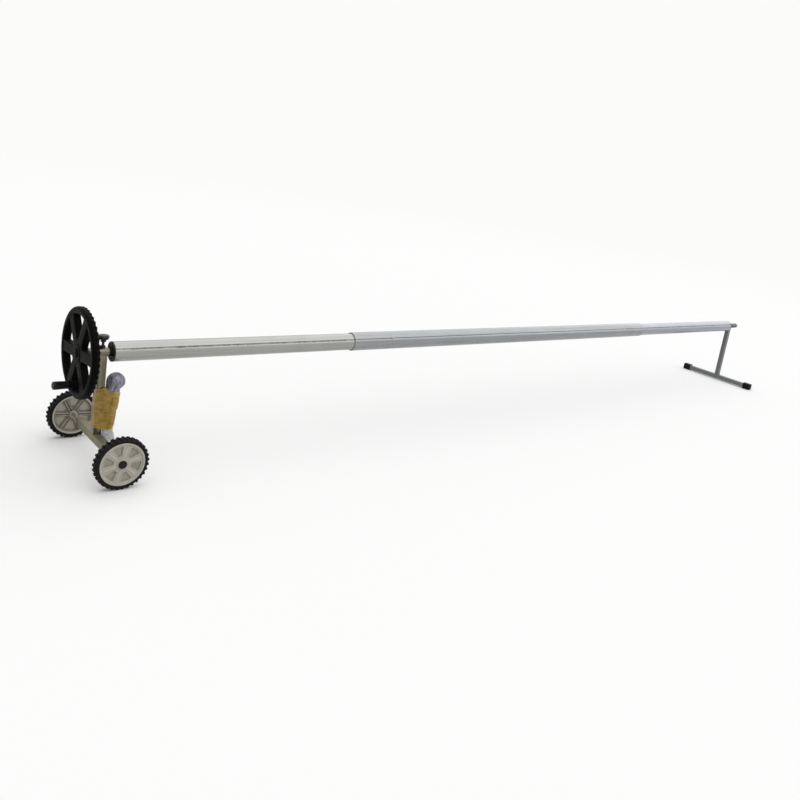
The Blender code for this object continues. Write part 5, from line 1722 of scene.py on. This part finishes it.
        # Painted shade and dirt: most in the cells round the hub, less on the back web and pocket
        # floors
        if web and radius < self.hub_ring - 1.5 * MM:
            return 1.8
        if web and radius < self.barrel - 1.0 * MM:
            return 0.7
        # A painted highlight along the tops of the ridges
        if out > self.web + 0.5 * MM and self.hub + 2 * MM < radius < self.barrel - 4 * MM:
            return -1.0
        pocket = self.pocket_low - 1 * MM < radius < self.pocket_high + 1 * MM
        # A fainter painted highlight on the plateaus behind the pockets
        if abs(out - self.back + self.pocket_back) < 0.2 * MM and pocket:
            return -0.6
        return 0.05 if self.back < out < self.web - 1.0 * MM and pocket else 0.0

    def cap(self) -> Shape:
        """Build the domed hub cap.

        Returns:
            The cap.
        """
        base = self.half - 1.7 * MM
        # Out from the cap's base and distance from the axle, in millimetres
        section = [(0.0, 0.0), (0.0, 10.2), (-6.5, 10.2), (-6.5, 12.2), (0.0, 12.2), (0.0, 15.0),
                   (2.2, 15.0), (3.3, 12.4), (3.3, 8.2), (2.7, 7.4), (2.7, 6.6), (3.6, 5.8),
                   (4.0, 0.0)]
        shape = rounded([(self.side * (base + out * MM), reach * MM) for out, reach in section],
                        0.5 * MM, closed=False)
        return turned(shape, Axis.Y, self.place, 48, solid=True)

    def build(self, bench: Bench) -> None:
        """Build the wheel.

        Args:
            bench: Where the pieces go.
        """
        bench.add(f"tyre_{self.suffix}_moulding", self.tyre(), TYRE_BLACK, self.body,
                  f"tyre_{self.suffix}", sharp=40)
        rim = bench.add(f"rim_{self.suffix}_moulding", merged([self.rim(), self.ribs()]),
                        WHEEL_GREY, self.body, f"wheel_rim_{self.suffix}", sharp=28)
        # Painted shade and dirt in the rim's low places, painted highlights on its ridges and back
        # plateaus
        mark(rim, self.shade_and_dirt)
        bench.add(f"hub_cap_{self.suffix}_moulding", self.cap(), SMOOTH_BLACK, self.body,
                  f"hub_cap_{self.suffix}")


@dataclass
class FittingKit:
    """The rolled kit that is taped to the post, and the film that hangs out below the tape."""

    post: float = DRIVE_POST
    half: float = 15.0 * MM
    foot: float = 137.0 * MM
    neck: float = 292.0 * MM
    shoulder: float = 316.0 * MM
    top: float = 352.0 * MM
    foot_radius: float = 18.5 * MM
    neck_radius: float = 27.0 * MM
    head_radius: float = 36.0 * MM
    side: float = -18.0 * MM
    film_bottom: float = 88.0 * MM
    film_half: float = 27.0 * MM
    film_half_depth: float = 10.0 * MM
    film_ahead: float = 19.5 * MM
    film_side: float = -30.0 * MM
    film_skin: float = 0.25 * MM
    tape_middle: float = 22.0 * MM
    tape_gap: float = 0.7 * MM
    tape_layer: float = 0.32 * MM
    tape_skin: float = 0.3 * MM
    wrinkle: float = 1.6 * MM
    tuck: float = 5.0 * MM
    flap: float = 9.0 * MM
    fold: float = 12.0 * MM
    steps: int = 120

    def section(self, height: float) -> tuple[float, float]:
        """Work out the roll's middle along X and its radius.

        Args:
            height: The height above the floor.

        Returns:
            The two at that height.
        """
        if height <= self.neck:
            share = (height - self.foot) / (self.neck - self.foot)
            radius = self.foot_radius + share * (self.neck_radius - self.foot_radius)
        elif height <= self.shoulder:
            swell = math.sin(0.5 * math.pi * (height - self.neck) / (self.shoulder - self.neck))
            radius = self.neck_radius + swell * (self.head_radius - self.neck_radius)
        else:
            share = (height - self.shoulder) / (self.top - self.shoulder)
            radius = self.head_radius * math.sqrt(max(0.0, 1 - share * share))
        widest = self.head_radius if height > self.shoulder else radius
        return self.post + self.half + SEAT + widest, radius

    def roll(self) -> Shape:
        """Build the roll with its gathered film head.

        Returns:
            The roll.
        """
        steps = 96
        heights = [self.foot + (self.neck - self.foot) * step / 24 for step in range(25)]
        heights += [self.neck + (self.shoulder - self.neck) * step / 10 for step in range(1, 11)]
        heights += [self.shoulder + (self.top - self.shoulder) * math.sin(math.radians(angle))
                    for angle in range(5, 90, 5)]
        rows = []
        for height in heights:
            x, radius = self.section(height)
            gather = smoothstep(self.neck, self.shoulder, height)
            depth = (0.8 + 4.2 * gather) * MM
            row = []
            for step in range(steps):
                angle = math.tau * step / steps
                across, deep = math.cos(angle), math.sin(angle)
                fold = noise.noise(Vector((across * 3.1, deep * 3.1, height * 22)))
                pleat = abs(noise.noise(Vector((across * 5.0, deep * 5.0, height * 16 + 5))))
                reach = radius * (1 - 0.02 * gather) - depth * pleat + 0.35 * depth * (fold - 0.5)
                reach = min(reach, radius) - 0.5 * MM * smoothstep(0.55, 0.95, -across)
                row.append(Vector((x + reach * across, self.side + reach * deep, height)))
            rows.append(row)
        return grid(rows)

    def outline(self, height: float) -> Outline:
        """Draw the outline round the post and the roll.

        Args:
            height: The level.

        Returns:
            The outline's points, evenly spaced.
        """
        x, radius = self.section(min(height, self.neck))
        points = []
        for step in range(self.steps):
            angle = math.tau * (step + 0.5) / self.steps
            way = Vector((math.cos(angle), math.sin(angle)))
            corner = Vector((self.post + math.copysign(self.half, way.x),
                             math.copysign(self.half, way.y)))
            on_roll = Vector((x, self.side)) + radius * way
            point = corner if corner.dot(way) > on_roll.dot(way) else on_roll
            points.append((point.x, point.y))
        return spread(points, self.steps)

    def band(self, low: float, high: float, tilt: float, layer: int, seed: float) -> Shape:
        """Build one turn of tape.

        Args:
            low: Its lower edge at the post.
            high: Its upper edge at the post.
            tilt: How much it falls for each unit along X.
            layer: How many turns lie under it.
            seed: What sets its wrinkles.

        Returns:
            The closed band.
        """
        middle = Vector((self.post + self.tape_middle, 0.5 * self.side))
        base = self.tape_gap + self.tape_layer * layer
        inside, outside = [], []
        rows = 9
        for row in range(rows + 1):
            share = row / rows
            level = low + share * (high - low)
            inner, outer = [], []
            for place in self.outline(level):
                point = Vector(place)
                height = level - tilt * (point.x - self.post)
                wrinkle = noise.noise(Vector((point.x * 55, point.y * 55, height * 60 + seed)))
                ruck = noise.noise(Vector((point.x * 30, point.y * 30, height * 26 + 3 * seed)))
                lift = max(0.0, self.wrinkle * abs(wrinkle) + 1.3 * MM * (ruck + 0.2))
                lift = base + min(lift, self.wrinkle)
                notch = (point.x - self.post - self.half + 4 * MM) / (12 * MM)
                folded = math.exp(-notch * notch) * smoothstep(0.0, -12 * MM, point.y)
                tuck = self.tuck + self.fold * folded
                lift -= tuck * smoothstep(self.neck - 12 * MM, self.neck, level)
                height += self.flap * folded * smoothstep(self.neck - 22 * MM, self.neck, level)
                height += 2.6 * MM * ruck * (2 * share - 1)
                way = (point - middle).normalized()
                outer.append((point + way * lift).to_3d() + Vector((0, 0, height)))
                inner.append((point + way * (lift - self.tape_skin)).to_3d()
                             + Vector((0, 0, height)))
            inside.append(inner)
            outside.append(outer)
        return grid(outside + inside[::-1], close_rows=True)

    def film(self) -> Shape:
        """Build the loose end of the film: a crumpled skirt below the tape.

        Returns:
            The film.
        """
        x, radius = self.section(self.foot)
        front = self.post + self.half
        rows = 18
        outside, inside = [], []
        for row in range(rows + 1):
            share = row / rows
            level = self.foot - 0.5 * MM - share * (self.foot - self.film_bottom)
            wide = radius + share * (self.film_half - radius)
            deep = radius + share * (self.film_half_depth - radius)
            middle = Vector((x + share * (front + self.film_ahead - x),
                             self.side + share * (self.film_side - self.side)))
            outer, inner = [], []
            for step in range(self.steps):
                angle = math.tau * step / self.steps
                spot = Vector((math.cos(angle) * 2.6, math.sin(angle) * 2.6, level * 24))
                ruffle = noise.noise(spot) * (0.6 + 3.0 * share) * MM
                ruffle += noise.noise(spot * 2.3) * (0.3 + 1.6 * share) * MM
                hem = noise.noise(Vector((spot.x, spot.y, 7.0))) * 5.0 * MM * share
                beside_post = middle.y + (deep + ruffle) * math.sin(angle) > -self.half - 1.5 * MM
                for skin, line in ((0.0, outer), (self.film_skin, inner)):
                    point = Vector((middle.x + (wide + ruffle - skin) * math.cos(angle),
                                    middle.y + (deep + ruffle - skin) * math.sin(angle),
                                    level + hem))
                    if beside_post:
                        point.x = max(point.x, front + 0.8 * MM + skin)
                    line.append(point)
            outside.append(outer)
            inside.append(inner)
        return grid(outside + inside[::-1], close_rows=True)

    def build(self, bench: Bench) -> None:
        """Args:
            bench: Where the pieces go.
        """
        body = "drive_stand"

        def up_the_roll(index: int, spot: Vector) -> Vector:
            """Return coordinates that are drawn out down the roll.

            Args:
                index: The vertex's number.
                spot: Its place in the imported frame.

            Returns:
                The coordinates.
            """
            local = spot - bench.origin
            middle = self.section(min(self.top, max(self.foot, local.z)))[0]
            angle = math.atan2(local.y - self.side, local.x - middle)
            return Vector((math.cos(angle), math.sin(angle), 7 * local.z)) * self.neck_radius

        roll = bench.add("rolled_kit", self.roll(), VIOLET_FILM, body, "kit_roll", sharp=60)
        lay_out(roll, up_the_roll)
        # Lower and upper edge in millimetres, tilt, number of turns under it, and seed
        turns = [(137, 186, 0.03, 0, 1.0), (170, 220, 0.06, 1, 2.3), (205, 254, -0.04, 2, 3.1),
                 (239, 290, 0.12, 3, 4.7), (150, 199, 0.10, 2, 6.2), (222, 262, 0.16, 4, 8.4)]
        bands = [self.band(low * MM, high * MM, tilt, layer, seed)
                 for low, high, tilt, layer, seed in turns]
        tape = bench.add("tape_turns", merged(bands), BUFF_TAPE, body, "kit_wrap", sharp=50)
        share = len(tape.data.vertices) / len(turns)
        lay_out(tape, lambda index, spot: Vector((
            0.4 * spot.x, 0.4 * spot.y, spot.z + 0.55 * spot.x + 0.3 * (index // share))))
        film = bench.add("film_tail", self.film(), CLEAR_FILM, body, "kit_film", sharp=60)
        lay_out(film, up_the_roll)


def spread(points: Outline, steps: int) -> Outline:
    """Space points evenly round a closed outline.

    Args:
        points: The outline.
        steps: The number of points wanted.

    Returns:
        The evenly spaced points.
    """
    ring = [Vector(point) for point in points]
    lengths = [(ring[(i + 1) % len(ring)] - ring[i]).length for i in range(len(ring))]
    total = sum(lengths)
    made: Outline = []
    index, walked = 0, 0.0
    for step in range(steps):
        target = total * step / steps
        while walked + lengths[index] < target:
            walked += lengths[index]
            index += 1
        share = (target - walked) / lengths[index] if lengths[index] else 0.0
        point = ring[index].lerp(ring[(index + 1) % len(ring)], share)
        made.append((point.x, point.y))
    return made


@dataclass
class IdlerStand:
    """The plain stand at the far end: post, sleeve and a foot bar with rubber caps."""

    place: float = 4.690
    bar_height: float = 22.0 * MM
    bar_half: float = 274.0 * MM
    cap_side: float = 44.0 * MM
    cap_length: float = 52.0 * MM
    tube: SquareTube = field(default_factory=SquareTube)
    sleeve: BearingSleeve = field(default_factory=lambda: BearingSleeve(4.6579, 4.7779))

    def build(self, bench: Bench) -> None:
        """Build the stand.

        Args:
            bench: Where the pieces go.
        """
        body = "idler_stand"
        post = self.tube.post(self.place, self.bar_height, self.sleeve, GREY_POST)
        bench.add("idler_post", post, GREY_POST, body, "right_post")
        self.sleeve.build(bench, "idler", "right", -1, GREY_POST)
        middle = Vector((self.place, 0, self.bar_height))
        bench.add("idler_foot_bar", self.tube.bar(self.bar_half, middle), GREY_POST, body,
                  "foot_bar")
        for suffix, side in (("front", -1), ("rear", 1)):
            bench.add(f"foot_cap_{suffix}_moulding", self.cap(side), CAP_RUBBER, body,
                      f"foot_cap_{suffix}", sharp=40)

    def cap(self, side: int) -> Shape:
        """Build one foot cap with a rolled mouth and an eased end.

        Args:
            side: Which end of the foot bar it is for, -1 or 1 along Y.

        Returns:
            The cap.
        """
        end, wide = self.bar_half, self.cap_side
        face = end + 6.3 * MM
        mouth = face - self.cap_length
        bore = self.tube.side + 0.6 * MM
        # Distance along the bar, width, and the corners' radius in millimetres
        levels = [(end + SEAT, bore, 3.4), (mouth + 1.0 * MM, bore, 3.4),
                  (mouth, bore + 1.2 * MM, 4.0), (mouth, wide - 2.0 * MM, 6.0),
                  (mouth + 1.2 * MM, wide, 7.0), (mouth + 6.0 * MM, wide, 7.0),
                  (mouth + 7.2 * MM, wide - 1.8 * MM, 7.0),
                  (face - 10.0 * MM, wide - 1.4 * MM, 7.0),
                  (face - 3.0 * MM, wide - 1.6 * MM, 7.0),
                  (face - 1.0 * MM, wide - 3.4 * MM, 6.6), (face, wide - 7.0 * MM, 6.0)]
        centre = Vector((self.place, 0, self.bar_height))
        flat = -0.5 * wide
        return grid([[centre + Vector((a, side * along, max(b, flat)))
                      for b, a in rounded_square(width, corner * MM)]
                     for along, width, corner in levels])


@dataclass
class Studio:
    """A pale seamless floor, one soft lamp and the photograph's camera."""

    origin: Vector
    background: str = "#FBFBFA"
    floor_colour: str = "#C8C8C6"
    surround_level: float = 0.42
    lamp_way: tuple[float, float, float] = (0.42, -0.10, 0.90)
    lamp_strength: float = 2.0
    lamp_spread: float = math.radians(120)
    camera_place: tuple[float, float, float] = (-1.109, -2.8447, 1.324)
    camera_turn: tuple[float, float, float] = (78.413, -9.448, -42.011)
    camera_shift: tuple[float, float] = (-0.0502, -0.1007)
    lens_mm: float = 35.784

    def world(self) -> None:
        """Set the even surroundings."""
        world = bpy.data.worlds.new("studio_surroundings")
        bpy.context.scene.world = world
        world.use_nodes = True
        tree = world.node_tree
        back = tree.nodes["Background"]
        level = add_node(tree, "ShaderNodeMapRange", {
            "Value": self.seen(tree), "To Min": self.surround_level, "To Max": 1.0})
        back.inputs["Color"].default_value = linear(self.background)
        tree.links.new(level.outputs["Result"], back.inputs["Strength"])

    def seen(self, tree: Tree) -> Socket:
        """Return 1 for the rays that show a thing itself, in a reflection too, and else 0.

        Args:
            tree: The tree that gets the nodes.

        Returns:
            The socket with that value.
        """
        path = add_node(tree, "ShaderNodeLightPath")
        bare = add_node(tree, "ShaderNodeMath", {
            0: path.outputs["Is Camera Ray"], 1: path.outputs["Is Glossy Ray"]},
            operation="MAXIMUM")
        return add_node(tree, "ShaderNodeMath", {
            0: bare.outputs[0], 1: path.outputs["Is Transmission Ray"]},
            operation="MAXIMUM").outputs[0]

    def floor(self) -> None:
        """Add the floor, which fades into the surroundings far from the reel."""
        shape = bmesh.new()
        bmesh.ops.create_circle(shape, cap_ends=True, radius=40.0, segments=96)
        mesh = bpy.data.meshes.new("studio_floor")
        shape.to_mesh(mesh)
        shape.free()
        ground = bpy.data.materials.new("matt_floor_paper")
        ground.use_nodes = True
        tree = ground.node_tree
        shader = tree.nodes["Principled BSDF"]
        paper = add_node(tree, "ShaderNodeMix", {
            0: self.seen(tree), 6: linear(self.floor_colour), 7: linear("#FFFFFF")},
            data_type="RGBA")
        tree.links.new(paper.outputs[2], shader.inputs["Base Color"])
        shader.inputs["Roughness"].default_value = 0.9
        shader.inputs["Specular IOR Level"].default_value = 0.1
        place = add_node(tree, "ShaderNodeTexCoord").outputs["Object"]
        far = add_node(tree, "ShaderNodeVectorMath", {0: place}, operation="LENGTH")
        share = add_node(tree, "ShaderNodeMapRange", {
            "Value": far.outputs["Value"], "From Min": 5.0, "From Max": 18.0},
            interpolation_type="SMOOTHSTEP")
        glow = add_node(tree, "ShaderNodeEmission", {
            "Color": linear(self.background), "Strength": 1.0})
        mix = add_node(tree, "ShaderNodeMixShader", {
            0: share.outputs["Result"], 1: shader.outputs[0], 2: glow.outputs[0]})
        tree.links.new(mix.outputs[0], tree.nodes["Material Output"].inputs["Surface"])
        mesh.materials.append(ground)
        made = bpy.data.objects.new("studio_floor", mesh)
        bpy.context.scene.collection.objects.link(made)

    def lamp(self) -> None:
        """Add the one broad lamp, which lights the floor evenly however far it goes."""
        data = bpy.data.lights.new("softbox", "SUN")
        data.energy = self.lamp_strength
        data.angle = self.lamp_spread
        made = bpy.data.objects.new("softbox", data)
        bpy.context.scene.collection.objects.link(made)
        made.rotation_euler = Vector(self.lamp_way).to_track_quat("Z", "Y").to_euler()

    def camera(self) -> None:
        """Add the camera that the photograph was taken with."""
        data = bpy.data.cameras.new("photo_camera")
        data.sensor_width = 36.0
        data.lens = self.lens_mm
        data.shift_x, data.shift_y = self.camera_shift
        data.clip_end = 200.0
        made = bpy.data.objects.new("photo_camera", data)
        bpy.context.scene.collection.objects.link(made)
        made.location = self.origin + Vector(self.camera_place)
        made.rotation_euler = [math.radians(angle) for angle in self.camera_turn]
        bpy.context.scene.camera = made

    def build(self) -> None:
        """Set up the surroundings, the floor, the lamp and the camera."""
        bpy.context.scene.view_settings.view_transform = "Standard"
        self.world()
        self.floor()
        self.lamp()
        self.camera()


def main() -> None:
    """Load the frame, dress each sub-assembly and set up the studio."""
    logging.basicConfig(level=logging.INFO, format="%(name)s %(message)s")
    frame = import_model()
    origin = Vector((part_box("tube_left")[0][0], 0, 0))
    bench = Bench(origin, frame)
    Roller().build(bench)
    Handwheel().build(bench)
    DriveStand().build(bench)
    for suffix, side, degrees in (("front", -1, 17), ("rear", 1, -3)):
        RoadWheel(suffix, side, math.radians(degrees), origin).build(bench)
    FittingKit().build(bench)
    IdlerStand().build(bench)
    Studio(origin).build()
    LOG.info("%d pieces", bench.count)


if __name__ == "__main__":
    main()
